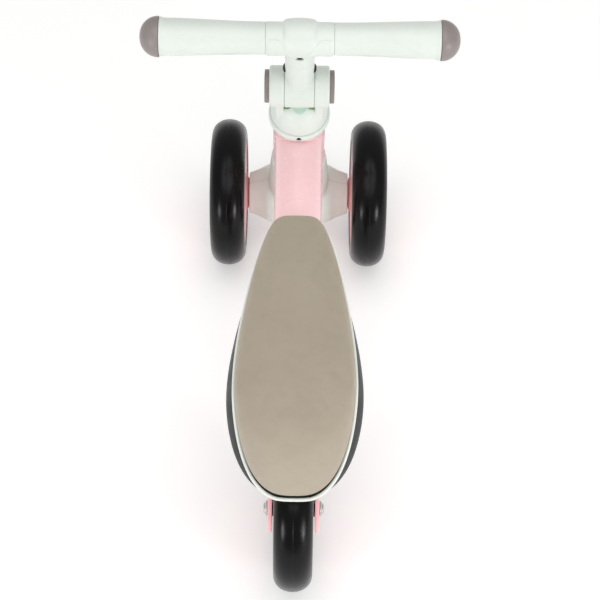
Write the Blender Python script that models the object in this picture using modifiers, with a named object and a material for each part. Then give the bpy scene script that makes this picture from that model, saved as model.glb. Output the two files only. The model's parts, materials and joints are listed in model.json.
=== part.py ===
"""Toddler balance bike: two steered front wheels, one rear wheel, a folding handlebar and a padded seat.

Metres, +Y forward, +X to the rider's right, +Z up. The origin is on the ground, midway between the axles.
"""

import math

import bmesh
import bpy
from mathutils import Matrix, Vector

MM = 0.001
GAP = 0.3 * MM  # between pieces that touch
MERGE = 0.01 * MM  # points nearer than this are one
DRILL = 60 * MM  # a cutter this long goes through any wall
THROUGH = 160 * MM  # a cutter this long goes through the fork from side to side

# Layout
WHEEL_RADIUS = 80 * MM
WHEELBASE = 394 * MM
FRONT_WHEEL_X = 75.8 * MM
RAKE = math.radians(12)
# Heights along the steering axis, from the front axle
COLLAR_S = 169.5 * MM
DOME_S = 176.3 * MM
FOLD_S = 225 * MM
BAR_S = 310.7 * MM
SHELL_TOP_S = 85.5 * MM
HEAD_TOP_S = 169 * MM
# Wheels
TYRE_WIDTH = 37.3 * MM
RIM_RADIUS = 57.7 * MM
RIM_WIDTH = 35.2 * MM
BEARING_RADIUS = 11 * MM
BEARING_WIDTH = 7 * MM
AXLE_RADIUS = 4 * MM
AXLE_NUT_HEIGHT = 5.4 * MM
DOME_NUT_HEIGHT = 4.6 * MM
WHEEL_STEPS = 28
STEPS = 22  # round pieces on the fork and handlebar
HUB_FACE = 18.6 * MM
FRONT_HUB_FACE = 21.6 * MM
FRONT_HUB_END = 6 * MM
# Fork and steering
STEERER_RADIUS = 14.6 * MM
HEAD_RADIUS = 26.5 * MM
HEAD_BORE = 24 * MM
COLLAR_RADIUS = 31 * MM
ARM_END_X = 53.6 * MM
SHELL_WALL = 3 * MM
SCREW_XS = (("left", -22 * MM), ("right", 22 * MM))
SCREW_S = 52 * MM
SCREW_FACE = 21.8 * MM  # the shell's front surface at the screws
SHELL_LOW_S = -5 * MM
STEERER_LOW_S = -2 * MM
STEERER_TOP_S = 195 * MM
CROSS_TUBE_RADIUS = 10.5 * MM
BUSH_HEIGHT = 14 * MM
# Fold hinge
BARREL_RADIUS = 20.5 * MM
BARREL_HALF = 14.5 * MM
EAR_INNER_X = 14.8 * MM
EAR_OUTER_X = 29.5 * MM
POCKET_FLOOR_X = 20.5 * MM
BUTTON_RADIUS = 16.35 * MM
BUTTON_STEPS = 26
BUTTON_FACE_X = 34.2 * MM
PAWL_X = (9.2 * MM, 14.3 * MM)
PAWL_Y = (-13.2 * MM, -9 * MM)
PAWL_S = (200.2 * MM, 206.6 * MM)
PAWL_ROOM = 2.7 * MM
RIVET_S = 259 * MM
# Handlebar
STEM_RADIUS = 14.2 * MM
NECK_S = 280 * MM
CORE_RADIUS = 11.7 * MM
CORE_TOP_S = 294.5 * MM
CLAMP_SCREW_S = 299.4 * MM
BAR_RADIUS = 11 * MM
BAR_BORE = 9.5 * MM
PLUG_DEPTH = 14 * MM
BAR_HALF = 131.4 * MM
CLAMP_HALF = 32 * MM
CLAMP_RADIUS = 16.2 * MM
HANDLEBAR_HALF = 150 * MM
# Frame
TUBE_START = Vector((0, 168, 216.5)) * MM
TUBE_END = Vector((0, -92, 180)) * MM
TUBE_RADII = (24.6 * MM, 22.6 * MM)
TUBE_WALL = 2.2 * MM
DROPOUT_X = (20.7 * MM, 24.7 * MM)
DROPOUT_RADIUS = 23 * MM
BRIDGE_SIZE = Vector((40.8, 24, 34)) * MM
BRIDGE_WALL = 3 * MM
# Seat
SEAT_NOSE_Y = 36 * MM
SEAT_REAR_Y = -243 * MM
SEAT_HALF = 55 * MM
SEAM_Z = 235 * MM
SEAM_DROP = 54 * MM
SEAM_DROP_Y = -163 * MM
REAR_BULGE = 3.5 * MM
SEAT_TOP_Z = 253 * MM
SEAT_POINTS = 30
DECK_LIFT = -4.8 * MM
PAN_WALL = 2.5 * MM
BOLT_HOLE_RADIUS = 3.3 * MM
BRACKET_YS = (("front", -22 * MM), ("rear", -74 * MM))

FINISHES = {
    "mint_plastic": ((0.79, 0.87, 0.81), 0.42, 0),
    "pink_paint": ((0.97, 0.63, 0.66), 0.3, 0),
    "pink_plastic": ((0.95, 0.58, 0.61), 0.4, 0),
    "tyre": ((0.012, 0.012, 0.013), 0.28, 0),
    "grey_cap": ((0.27, 0.235, 0.225), 0.5, 0),
    "taupe_pad": ((0.45, 0.4, 0.32), 0.6, 0),
    "charcoal": ((0.065, 0.065, 0.068), 0.5, 0),
    "white_trim": ((0.85, 0.88, 0.83), 0.4, 0),
    "steel": ((0.55, 0.55, 0.56), 0.3, 1),
    "zinc": ((0.7, 0.7, 0.7), 0.35, 1),
    "black_steel": ((0.03, 0.03, 0.03), 0.4, 1),
    "black_plastic": ((0.02, 0.02, 0.02), 0.5, 0),
    "green_plastic": ((0.28, 0.5, 0.17), 0.4, 0),
    "white_nylon": ((0.8, 0.8, 0.78), 0.5, 0),
    "board": ((0.12, 0.12, 0.12), 0.6, 0),
}

ALONG_X = Matrix.Rotation(math.pi / 2, 4, "Y")
ALONG_MINUS_X = Matrix.Rotation(-math.pi / 2, 4, "Y")
ALONG_MINUS_Y = Matrix.Rotation(math.pi / 2, 4, "X")
ALONG_Y = Matrix.Rotation(-math.pi / 2, 4, "X")
UPRIGHT = Matrix.Identity(4)
SIDES = (("left", ALONG_MINUS_X), ("right", ALONG_X))


def clear_scene():
    for old in list(bpy.data.objects):
        bpy.data.objects.remove(old, do_unlink=True)
    parts = bpy.data.collections.new("balance_bike")
    cutters = bpy.data.collections.new("cutters")
    cutters.hide_render = True
    for collection in (parts, cutters):
        bpy.context.scene.collection.children.link(collection)
    return parts, cutters


PARTS, CUTTERS = clear_scene()


def finish(obj, name):
    """Gives the object its own material, in one of the finishes above."""
    colour, roughness, metallic = FINISHES[name]
    paint = bpy.data.materials.new(obj.name)
    paint.use_nodes = True
    shader = paint.node_tree.nodes["Principled BSDF"]
    shader.inputs["Base Color"].default_value = (*colour, 1)
    shader.inputs["Roughness"].default_value = roughness
    shader.inputs["Metallic"].default_value = metallic
    paint.diffuse_color = (*colour, 1)
    obj.data.materials.append(paint)


def add(name, data, look, parent=None, place=UPRIGHT):
    """Links an object as a part, or as a cutter when it has no look."""
    obj = bpy.data.objects.new(name, data)
    if look is None:
        CUTTERS.objects.link(obj)
        obj.hide_render = True
        obj.display_type = "WIRE"
    else:
        PARTS.objects.link(obj)
        finish(obj, look)
    obj.parent = parent
    obj.matrix_local = place
    return obj


def empty(name, parent=None, place=UPRIGHT):
    obj = bpy.data.objects.new(name, None)
    PARTS.objects.link(obj)
    obj.empty_display_size = 20 * MM
    obj.parent = parent
    obj.matrix_local = place
    return obj


def at(x, y, z, turn=UPRIGHT):
    return Matrix.Translation((x, y, z)) @ turn


def smooth_mesh(mesh):
    mesh.polygons.foreach_set("use_smooth", [True] * len(mesh.polygons))
    mesh.set_sharp_from_angle(angle=math.radians(35))


def cylinder(name, radius, length, look, parent=None, place=UPRIGHT, steps=STEPS, top_radius=None):
    """A cylinder or cone from z = 0 to z = length."""
    bm = bmesh.new()
    lift = Matrix.Translation((0, 0, length / 2))
    bmesh.ops.create_cone(
        bm,
        cap_ends=True,
        segments=steps,
        radius1=radius,
        radius2=radius if top_radius is None else top_radius,
        depth=length,
        matrix=lift,
    )
    mesh = bpy.data.meshes.new(name)
    bm.to_mesh(mesh)
    bm.free()
    smooth_mesh(mesh)
    return add(name, mesh, look, parent, place)


def block(name, size, look, parent=None, place=UPRIGHT):
    """A box centred on its place."""
    bm = bmesh.new()
    bmesh.ops.create_cube(bm, size=1, matrix=Matrix.Diagonal((*size, 1)))
    mesh = bpy.data.meshes.new(name)
    bm.to_mesh(mesh)
    bm.free()
    return add(name, mesh, look, parent, place)


def turned(name, profile, look, parent=None, place=UPRIGHT, steps=WHEEL_STEPS, ring=False):
    """Turns (radius, height) points about local Z. They run down the outer side."""
    mesh = bpy.data.meshes.new(name)
    count = len(profile)
    edges = [(i, i + 1) for i in range(count - 1)]
    if ring:
        edges.append((count - 1, 0))
    mesh.from_pydata([(radius, 0, height) for radius, height in profile], edges, [])
    obj = add(name, mesh, look, parent, place)
    screw = obj.modifiers.new("turn", "SCREW")
    screw.steps = steps
    screw.render_steps = steps
    screw.use_merge_vertices = True
    screw.merge_threshold = MERGE
    screw.use_smooth_shade = True
    return obj


def sleeve(name, outer, inner, length, look, parent=None, place=UPRIGHT, steps=STEPS):
    """A plain tube from z = 0 to z = length."""
    profile = [(outer, length), (outer, 0), (inner, 0), (inner, length)]
    return turned(name, profile, look, parent, place, steps, ring=True)


def helix(name, radius, wire, length, turns, look, parent, place):
    """A coil spring about local Z, from z = 0."""
    curve = bpy.data.curves.new(name, "CURVE")
    curve.dimensions = "3D"
    curve.bevel_depth = wire / 2
    curve.bevel_resolution = 0
    curve.use_fill_caps = True
    spline = curve.splines.new("POLY")
    count = int(turns * 8)
    spline.points.add(count)
    for i, point in enumerate(spline.points):
        angle = math.tau * turns * i / count
        height = wire / 2 + (length - wire) * i / count
        point.co = (radius * math.cos(angle), radius * math.sin(angle), height, 1)
    return add(name, curve, look, parent, place)


def boolean(obj, other, operation):
    modifier = obj.modifiers.new(operation.lower(), "BOOLEAN")
    modifier.operation = operation
    modifier.object = other
    modifier.solver = "EXACT"


def cut(obj, *cutters):
    for cutter in cutters:
        boolean(obj, cutter, "DIFFERENCE")


def join(obj, *others):
    for other in others:
        boolean(obj, other, "UNION")


def arc(centre, radius, start, end, steps):
    """Points on an arc, from start to end degrees."""
    angles = [math.radians(start + (end - start) * i / steps) for i in range(steps + 1)]
    return [(centre[0] + radius * math.cos(a), centre[1] + radius * math.sin(a)) for a in angles]


def outline(name, loops, thickness, look, parent=None, place=UPRIGHT):
    """A flat plate from closed 2D loops, centred on its local XY plane."""
    curve = bpy.data.curves.new(name, "CURVE")
    curve.dimensions = "2D"
    curve.fill_mode = "BOTH"
    curve.extrude = thickness / 2
    for loop in loops:
        spline = curve.splines.new("POLY")
        spline.points.add(len(loop) - 1)
        spline.use_cyclic_u = True
        for point, (x, y) in zip(spline.points, loop):
            point.co = (x, y, 0, 1)
    return add(name, curve, look, parent, place)


# Wheels


def wheel(side, axis, turn, hub_face, hub_end, cap_bore):
    """One wheel about the empty's X axis. Local +Z is the side with the cap, and the hub starts at -hub_face."""
    place = turn @ Matrix.Rotation(math.pi / WHEEL_STEPS, 4, "Z")
    tyre(side, axis, place)
    face = RIM_WIDTH / 2
    wall = RIM_RADIUS - 4 * MM
    hub = BEARING_RADIUS + 4.5 * MM
    seat_radius = BEARING_RADIUS + GAP
    profile = [
        (RIM_RADIUS, face),
        (RIM_RADIUS, -face),
        (hub + 6 * MM, -HUB_FACE + 0.4 * MM),
        (hub, -hub_face),
        (seat_radius, -hub_face),
        (seat_radius, hub_end),
        (hub, hub_end),
        (hub + 1 * MM, -HUB_FACE + 5.5 * MM),
        (wall, -face + 5.5 * MM),
        (wall, face),
    ]
    turned("rim_" + side, profile, "pink_plastic", axis, place, ring=True)
    wheel_cap(side, axis, place, cap_bore)
    bearings(side, axis, turn, -hub_face + GAP, hub_end - GAP)


def tyre(side, axis, place):
    """A solid tyre with a flat middle band, so that one facet lies flat on the ground."""
    half = TYRE_WIDTH / 2
    crown = WHEEL_RADIUS / math.cos(math.pi / WHEEL_STEPS)
    bore = RIM_RADIUS + GAP
    tread = [
        (59.4 * MM, half - 0.9 * MM),
        (66 * MM, half),
        (72.5 * MM, half - 1.6 * MM),
        (77.2 * MM, half - 6.8 * MM),
        (crown, 3 * MM),
    ]
    lower = [(radius, -height) for radius, height in reversed(tread)]
    profile = [(bore, half - 1.2 * MM)] + tread + lower + [(bore, -half + 1.2 * MM)]
    turned("tyre_" + side, profile, "tyre", axis, place, ring=True)


def wheel_cap(side, axis, place, bore):
    """The cover in the wheel's open side, with a bore where the hub comes through."""
    face = RIM_WIDTH / 2
    low = face - 3.6 * MM
    edge = RIM_RADIUS - 4 * MM - GAP
    if bore:
        profile = [(edge, face - 0.4 * MM), (edge, low), (bore, low), (bore, face)]
    else:
        profile = [(0, face + 0.6 * MM), (24 * MM, face), (edge, face - 0.4 * MM), (edge, low), (0, low)]
    turned("wheel_cap_" + side, profile, "pink_plastic", axis, place, ring=bool(bore))


def bearings(side, axis, turn, start, end):
    """Two ball bearings with the sleeve that spaces their inner rings, as one turned piece."""
    bore = AXLE_RADIUS + GAP
    neck = AXLE_RADIUS + 2 * MM
    profile = [
        (BEARING_RADIUS, end),
        (BEARING_RADIUS, end - BEARING_WIDTH),
        (neck, end - BEARING_WIDTH),
        (neck, start + BEARING_WIDTH),
        (BEARING_RADIUS, start + BEARING_WIDTH),
        (BEARING_RADIUS, start),
        (bore, start),
        (bore, end),
    ]
    turned("bearings_" + side, profile, "zinc", axis, turn, 12, ring=True)


def rear_axle_set(axis):
    """The rear axle with its spacers and dome nuts."""
    reach = DROPOUT_X[1] + 2.2 * MM
    cylinder("rear_axle", AXLE_RADIUS, 2 * reach, "steel", axis, ALONG_X @ at(0, 0, -reach), steps=12)
    bore = AXLE_RADIUS + GAP
    start = HUB_FACE + GAP
    end = DROPOUT_X[0] - GAP
    spacer = [(8 * MM, end), (8 * MM, start), (bore, start), (bore, end)]
    base = DROPOUT_X[1] + GAP
    top = base + DOME_NUT_HEIGHT
    nut = [
        (0, top),
        (3.6 * MM, top - 0.5 * MM),
        (6.4 * MM, top - 2 * MM),
        (7.5 * MM, base + 1.2 * MM),
        (7.5 * MM, base),
        (bore, base),
        (bore, reach + GAP),
        (0, reach + GAP),
    ]
    for label, turn in SIDES:
        turned("rear_spacer_" + label, spacer, "black_plastic", axis, turn, 12, ring=True)
        turned("rear_dome_nut_" + label, nut, "zinc", axis, turn, 12)


def front_axle_set(axis):
    """The front axle, with a nut inside each wheel."""
    start = FRONT_WHEEL_X + FRONT_HUB_END + GAP
    end = start + AXLE_NUT_HEIGHT
    reach = end + 1.2 * MM
    bore = (AXLE_RADIUS + GAP) / math.cos(math.pi / 6)
    cylinder("front_axle", AXLE_RADIUS, 2 * reach, "steel", axis, ALONG_X @ at(0, 0, -reach), steps=12)
    nut = [(7.4 * MM, end), (7.4 * MM, start), (bore, start), (bore, end)]
    for label, turn in SIDES:
        turned("front_axle_nut_" + label, nut, "zinc", axis, turn, 6, ring=True)


# Fork


def fork_form(name, wall, look, steering):
    """The fork's outer form with wall 0, or the hollow inside it with the wall's thickness."""
    column = [
        (28.5, 85.5),
        (29.5, 75),
        (31, 55),
        (32, 30),
        (32.3, -5),
    ]
    top = SHELL_TOP_S - wall
    points = [(radius * MM - wall, min(s * MM, top)) for radius, s in column]
    body = turned(name, [(0, top)] + points + [(0, SHELL_LOW_S)], look, steering, UPRIGHT, STEPS)
    end = ARM_END_X - wall
    arm = [(22.3, 53.6), (23.6, 48.6), (26.5, 41.5), (30.5, 34.5), (33, 26.5)]
    half = [(radius * MM - wall, min(x * MM, end)) for radius, x in arm]
    other_half = [(radius, -x) for radius, x in reversed(half)]
    arms = turned(name + "_arms", [(0, end)] + half + other_half + [(0, -end)], None, steering, ALONG_X, STEPS)
    join(body, arms)
    return body


def fork_shells(steering):
    """A hollow plastic shell round the fork core, split front and rear, with screws from the front."""
    hollow = fork_form("fork_hollow", SHELL_WALL, None, steering)
    steerer_hole = cylinder("steerer_hole", STEERER_RADIUS + 2 * GAP, DRILL, None, steering, at(0, 0, DRILL))
    axle_hole = axle_bore("axle_hole", steering, 12)
    for half, side in (("front", -1), ("rear", 1)):
        shell = fork_form("fork_shell_" + half, 0, "mint_plastic", steering)
        cut(shell, hollow)
        if half == "rear":
            join(shell, *fork_bosses(steering))
        trim_size = Vector((200, 100, 300)) * MM
        trim_place = at(0, side * (trim_size.y - GAP) / 2, 0)
        cut(shell, block("trim_" + half, trim_size, None, steering, trim_place), steerer_hole, axle_hole)
        for label, x in SCREW_XS:
            drill_place = at(x, -14 * MM, SCREW_S) @ ALONG_Y
            cut(shell, cylinder(f"drill_{half}_{label}", 1.9 * MM, DRILL, None, steering, drill_place, 8))
            if half == "front":
                recess_place = at(x, SCREW_FACE - 3.2 * MM, SCREW_S) @ ALONG_Y
                cut(shell, cylinder(f"recess_{label}", 3.7 * MM, DRILL, None, steering, recess_place, 8))
    fork_screws(steering)


def axle_bore(name, steering, steps):
    """A cutter for the axle's hole, right across the fork."""
    place = ALONG_X @ at(0, 0, -THROUGH / 2)
    return cylinder(name, AXLE_RADIUS + GAP, THROUGH, None, steering, place, steps)


def fork_bosses(steering):
    """Posts on the rear shell's inner wall, which the screws bite into."""
    reach = SCREW_FACE - 1.5 * MM
    for label, x in SCREW_XS:
        yield cylinder("boss_" + label, 4.4 * MM, reach, None, steering, at(x, 0, SCREW_S) @ ALONG_MINUS_Y, 12)


def fork_screws(steering):
    """A head and a shank, turned in one profile."""
    head = SCREW_FACE - 1.2 * MM
    neck = head - 1.6 * MM
    low = -13 * MM
    profile = [(0, head), (3.3 * MM, head), (3.3 * MM, neck), (1.5 * MM, neck), (1.5 * MM, low), (0, low)]
    for label, x in SCREW_XS:
        turned("fork_screw_" + label, profile, "black_steel", steering, at(x, 0, SCREW_S) @ ALONG_Y, 8)


def fork_core(steering):
    """The welded steel steerer and cross tube inside the shell."""
    length = STEERER_TOP_S - STEERER_LOW_S
    core = cylinder("fork_core", STEERER_RADIUS, length, "steel", steering, at(0, 0, STEERER_LOW_S))
    half = ARM_END_X - SHELL_WALL - GAP
    cross_place = ALONG_X @ at(0, 0, -half)
    join(core, cylinder("cross_tube", CROSS_TUBE_RADIUS, 2 * half, None, steering, cross_place))
    bore_start = CROSS_TUBE_RADIUS + 3.5 * MM
    bore = cylinder("steerer_bore", STEERER_RADIUS - 2 * MM, length, None, steering, at(0, 0, bore_start))
    cut(core, bore, axle_bore("core_axle_bore", steering, 16))


# Head


def head(steering):
    """The head tube with its two bushes, and the collar that turns above it."""
    low = SHELL_TOP_S + 0.8 * MM
    profile = [
        (HEAD_RADIUS, HEAD_TOP_S),
        (HEAD_RADIUS, low + 5 * MM),
        (HEAD_RADIUS + 0.8 * MM, low + 4 * MM),
        (HEAD_RADIUS + 0.8 * MM, low),
        (HEAD_BORE, low),
        (HEAD_BORE, HEAD_TOP_S),
    ]
    turned("head_tube", profile, "pink_paint", steering, UPRIGHT, STEPS, ring=True)
    outer = HEAD_BORE - 2 * GAP
    inner = STEERER_RADIUS + 2 * GAP
    for name, start in (("bush_lower", low), ("bush_upper", HEAD_TOP_S - BUSH_HEIGHT)):
        sleeve(name, outer, inner, BUSH_HEIGHT, "white_nylon", steering, at(0, 0, start))
    collar(steering)


def collar(steering):
    top = DOME_S - GAP
    profile = [
        (COLLAR_RADIUS - 1.2 * MM, top),
        (COLLAR_RADIUS, top - 1.2 * MM),
        (COLLAR_RADIUS, COLLAR_S + 0.6 * MM),
        (COLLAR_RADIUS - 0.6 * MM, COLLAR_S),
        (STEERER_RADIUS + GAP, COLLAR_S),
        (STEERER_RADIUS + GAP, top),
    ]
    ring = turned("headset_collar", profile, "mint_plastic", steering, UPRIGHT, STEPS, ring=True)
    middle = (COLLAR_S + top) / 2
    reach = STEERER_RADIUS + 1 * MM
    for name, radius, start in (("collar_drill", 1.9 * MM, 10 * MM), ("collar_recess", 2.7 * MM, 25 * MM)):
        drill = cylinder(name, radius, DRILL / 2, None, steering, at(0, -start, middle) @ ALONG_MINUS_Y, 12)
        cut(ring, drill)
    face = COLLAR_RADIUS - 1.2 * MM
    neck = face - 2.6 * MM
    profile = [(0, face), (2.3 * MM, face), (2.3 * MM, neck), (1.5 * MM, neck), (1.5 * MM, reach), (0, reach)]
    turned("collar_screw", profile, "black_steel", steering, at(0, 0, middle) @ ALONG_MINUS_Y, 8)


# Fold hinge


def hinge_base(steering):
    """The domed base with two ears that carry the fold pin and the buttons."""
    dome = [
        (0, 208),
        (12, 207.4),
        (18.5, 205),
        (23.5, 200.5),
        (27, 193),
        (28.5, 184),
        (28.5, 176.3),
        (0, 176.3),
    ]
    profile = [(radius * MM, s * MM) for radius, s in dome]
    base = turned("hinge_base", profile, "mint_plastic", steering, UPRIGHT, STEPS)
    inset = 0.7 * MM
    width = EAR_OUTER_X - EAR_INNER_X + inset
    for side in (-1, 1):
        middle = side * (EAR_OUTER_X + EAR_INNER_X) / 2
        start = at(middle - (width + side * inset) / 2, 0, FOLD_S) @ ALONG_X
        ear = cylinder(f"ear_{side}", BARREL_RADIUS, width, None, steering, start)
        neck_size = (EAR_OUTER_X - EAR_INNER_X - 2 * inset, 30 * MM, 36 * MM)
        neck = block(f"ear_neck_{side}", neck_size, None, steering, at(middle, 0, 204 * MM))
        rounder = cylinder(f"ear_rounder_{side}", 28.3 * MM, DRILL, None, steering, at(0, 0, 180 * MM))
        boolean(neck, rounder, "INTERSECT")
        join(base, ear, neck)
    slot_place = at(-EAR_INNER_X, 0, FOLD_S) @ ALONG_X
    slot = cylinder("barrel_slot", BARREL_RADIUS + 0.6 * MM, 2 * EAR_INNER_X, None, steering, slot_place)
    socket_low = 170 * MM
    socket_depth = STEERER_TOP_S + 1 * MM - socket_low
    socket_place = at(0, 0, socket_low)
    steerer_socket = cylinder("steerer_socket", STEERER_RADIUS + GAP, socket_depth, None, steering, socket_place)
    scoop_place = at(0, -12 * MM, 216.4 * MM) @ ALONG_MINUS_Y
    scoop = cylinder("finger_scoop", 12.6 * MM, 20 * MM, None, steering, scoop_place)
    pin_hole = pin_bore("pin_hole", steering, FOLD_S)
    cut(base, slot, steerer_socket, scoop, pin_hole)
    for side, turn in ((-1, ALONG_MINUS_X), (1, ALONG_X)):
        place = at(side * POCKET_FLOOR_X, 0, FOLD_S) @ turn
        radius = BUTTON_RADIUS + GAP
        pocket = cylinder(f"button_pocket_{side}", radius, 20 * MM, None, steering, place, BUTTON_STEPS)
        cut(base, pocket, pawl_pocket(steering, side))


def pin_bore(name, parent, height):
    """A cutter for the fold pin's hole."""
    return cylinder(name, AXLE_RADIUS + GAP, 80 * MM, None, parent, at(-40 * MM, 0, height) @ ALONG_X, 16)


def pawl_pocket(steering, side):
    """A cutter for the slot in which one pawl slides, with room for its travel below."""
    height = 20 * MM
    size = (PAWL_X[1] - PAWL_X[0] + 2 * GAP, PAWL_Y[1] - PAWL_Y[0] + 2 * GAP, height)
    low = PAWL_S[0] - PAWL_ROOM
    centre = at(side * sum(PAWL_X) / 2, sum(PAWL_Y) / 2, low + height / 2)
    return block(f"pawl_pocket_{side}", size, None, steering, centre)


def hinge_moving_parts(steering):
    """The fold pin, and on each side a button with its spring and the pawl that it draws down."""
    pin_half = POCKET_FLOOR_X - GAP
    pin_place = at(-pin_half, 0, FOLD_S) @ ALONG_X
    cylinder("hinge_pin", AXLE_RADIUS, 2 * pin_half, "steel", steering, pin_place, steps=16)
    for (label, turn), side in zip(SIDES, (-1, 1)):
        axis = empty("button_axis_" + label, steering, at(0, 0, FOLD_S) @ turn)
        skirt = POCKET_FLOOR_X + 4.2 * MM
        under = BUTTON_FACE_X - 4 * MM
        inner = BUTTON_RADIUS - 3 * MM
        profile = [
            (0, BUTTON_FACE_X),
            (BUTTON_RADIUS - 1.4 * MM, BUTTON_FACE_X),
            (BUTTON_RADIUS, BUTTON_FACE_X - 1.4 * MM),
            (BUTTON_RADIUS, skirt),
            (inner, skirt),
            (inner, under),
            (0, under),
        ]
        turned("button_" + label, profile, "grey_cap", axis, UPRIGHT, BUTTON_STEPS)
        floor = POCKET_FLOOR_X + GAP
        helix("button_spring_" + label, 7 * MM, 1.3 * MM, under - GAP - floor, 3, "zinc", axis, at(0, 0, floor))
        size = (PAWL_X[1] - PAWL_X[0], PAWL_Y[1] - PAWL_Y[0], PAWL_S[1] - PAWL_S[0])
        centre = at(side * sum(PAWL_X) / 2, sum(PAWL_Y) / 2, sum(PAWL_S) / 2)
        block("lock_pawl_" + label, size, "green_plastic", steering, centre)


# Handlebar


def stem(steering, fold):
    """The stem: a barrel on the fold pin with a tube rising from it, and the steel core in the tube."""
    barrel_place = at(-BARREL_HALF, 0, 0) @ ALONG_X
    body = cylinder("stem", BARREL_RADIUS, 2 * BARREL_HALF, "mint_plastic", fold, barrel_place)
    rise = NECK_S - GAP - FOLD_S
    join(body, cylinder("stem_tube", STEM_RADIUS, rise, None, fold))
    core_low = 22 * MM
    core_bore = cylinder("core_bore", CORE_RADIUS + 2 * GAP, 2 * DRILL, None, fold, at(0, 0, core_low), 16)
    rivet_z = RIVET_S - FOLD_S
    side_drill = cylinder("side_drill", 2.3 * MM, DRILL, None, fold, at(-DRILL / 2, 0, rivet_z) @ ALONG_X, 12)
    cut(body, core_bore, pin_bore("stem_pin_bore", fold, 0), side_drill)
    length = CORE_TOP_S - FOLD_S - core_low - GAP
    core = sleeve("stem_core", CORE_RADIUS, 9.6 * MM, length, "steel", fold, at(0, 0, core_low + GAP), 16)
    cut(core, side_drill)
    stem_rivet(fold, rivet_z)


def stem_rivet(fold, height):
    """A rivet through the stem and its core, with a domed head on each side."""
    head = STEM_RADIUS + GAP
    half = [
        (0, head + 1.9 * MM),
        (2.4 * MM, head + 1.6 * MM),
        (4.4 * MM, head + 0.5 * MM),
        (4.5 * MM, head),
        (2 * MM, head),
    ]
    other_half = [(radius, -x) for radius, x in reversed(half)]
    turned("stem_rivet", half + other_half, "black_steel", fold, at(0, 0, height) @ ALONG_X, 12)


def bar_clamp(fold):
    """The T-shaped clamp: a neck over the stem core and a sleeve round the bar."""
    bar_z = BAR_S - FOLD_S
    neck_z = NECK_S - FOLD_S
    body_place = at(-CLAMP_HALF, 0, bar_z) @ ALONG_X
    body = cylinder("bar_clamp", CLAMP_RADIUS, 2 * CLAMP_HALF, "mint_plastic", fold, body_place)
    neck = cylinder("clamp_neck", 14.5 * MM, 26 * MM, None, fold, at(0, 0, neck_z))
    hump = [(14.5 * MM, 11 * MM), (18.8 * MM, 7 * MM), (18.8 * MM, -7 * MM), (14.5 * MM, -11 * MM)]
    hump_place = at(0, 0.6 * MM, bar_z + 0.8 * MM) @ ALONG_X
    boss = turned("clamp_hump", [(0, 11 * MM)] + hump + [(0, -11 * MM)], None, fold, hump_place, STEPS)
    join(body, neck, boss)
    bar_bore = cylinder("bar_bore", BAR_RADIUS + GAP, 2 * DRILL, None, fold, at(-DRILL, 0, bar_z) @ ALONG_X)
    bore_depth = CORE_TOP_S + GAP - NECK_S + 1 * MM
    bore_place = at(0, 0, neck_z - 1 * MM)
    neck_bore = cylinder("neck_bore", CORE_RADIUS + 2 * GAP, bore_depth, None, fold, bore_place, 16)
    screw_z = CLAMP_SCREW_S - FOLD_S
    cut(body, bar_bore, neck_bore)
    for name, radius, start in (("clamp_drill", 2.1 * MM, 5 * MM), ("clamp_recess", 3.9 * MM, 11.5 * MM)):
        place = at(0, -start, screw_z) @ ALONG_MINUS_Y
        cut(body, cylinder(name, radius, DRILL / 2, None, fold, place, 12))
    profile = [
        (0, 14.2 * MM),
        (3.5 * MM, 14.2 * MM),
        (3.5 * MM, 11.8 * MM),
        (1.8 * MM, 11.8 * MM),
        (1.8 * MM, 7 * MM),
        (0, 7 * MM),
    ]
    turned("clamp_screw", profile, "black_steel", fold, at(0, 0, screw_z) @ ALONG_MINUS_Y, 12)


def grips_and_caps(fold):
    """The bar tube, a tapered grip on each end of it, and a rounded cap plugged into each end."""
    bar_z = BAR_S - FOLD_S
    sleeve("bar_tube", BAR_RADIUS, BAR_BORE, 2 * BAR_HALF, "steel", fold, at(-BAR_HALF, 0, bar_z) @ ALONG_X)
    cap_start = BAR_HALF + GAP
    for label, turn in SIDES:
        place = at(0, 0, bar_z) @ turn
        inner = BAR_RADIUS + GAP
        profile = [
            (18.9 * MM, BAR_HALF),
            (18 * MM, BAR_HALF - 5 * MM),
            (15.5 * MM, CLAMP_HALF + 6 * MM),
            (15.3 * MM, CLAMP_HALF + GAP),
            (inner, CLAMP_HALF + GAP),
            (inner, BAR_HALF),
        ]
        turned("grip_" + label, profile, "mint_plastic", fold, place, STEPS, ring=True)
        depth = HANDLEBAR_HALF - cap_start
        radius = 19.3 * MM
        dome = [
            (radius * math.sin(a), cap_start + depth * math.cos(a))
            for a in (math.radians(d) for d in (0, 25, 48, 70, 90))
        ]
        plug_end = BAR_HALF - PLUG_DEPTH
        plug = [(BAR_BORE - GAP, cap_start), (BAR_BORE - GAP, plug_end), (0, plug_end)]
        turned("end_cap_" + label, dome + plug, "grey_cap", fold, place, STEPS)


# Frame


def tube_place():
    """Local +Z runs down the main tube from its front end."""
    turn = (TUBE_END - TUBE_START).to_track_quat("Z", "Y").to_matrix().to_4x4()
    return Matrix.Translation(TUBE_START) @ turn


def main_tube(steering):
    """A tapered steel tube, coped to the head tube and open at the rear."""
    run = TUBE_END - TUBE_START
    place = tube_place()
    tube = cylinder("main_tube", TUBE_RADII[0], run.length, "pink_paint", None, place, STEPS, TUBE_RADII[1])
    inside = [radius - TUBE_WALL for radius in TUBE_RADII]
    hollow_place = place @ at(0, 0, -5 * MM)
    length = run.length + 10 * MM
    hollow = cylinder("tube_hollow", inside[0], length, None, None, hollow_place, STEPS, inside[1])
    cope = cylinder("cope", HEAD_RADIUS + GAP, 200 * MM, None, steering, at(0, 0, 50 * MM), 2 * STEPS)
    cut(tube, hollow, cope)


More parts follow.
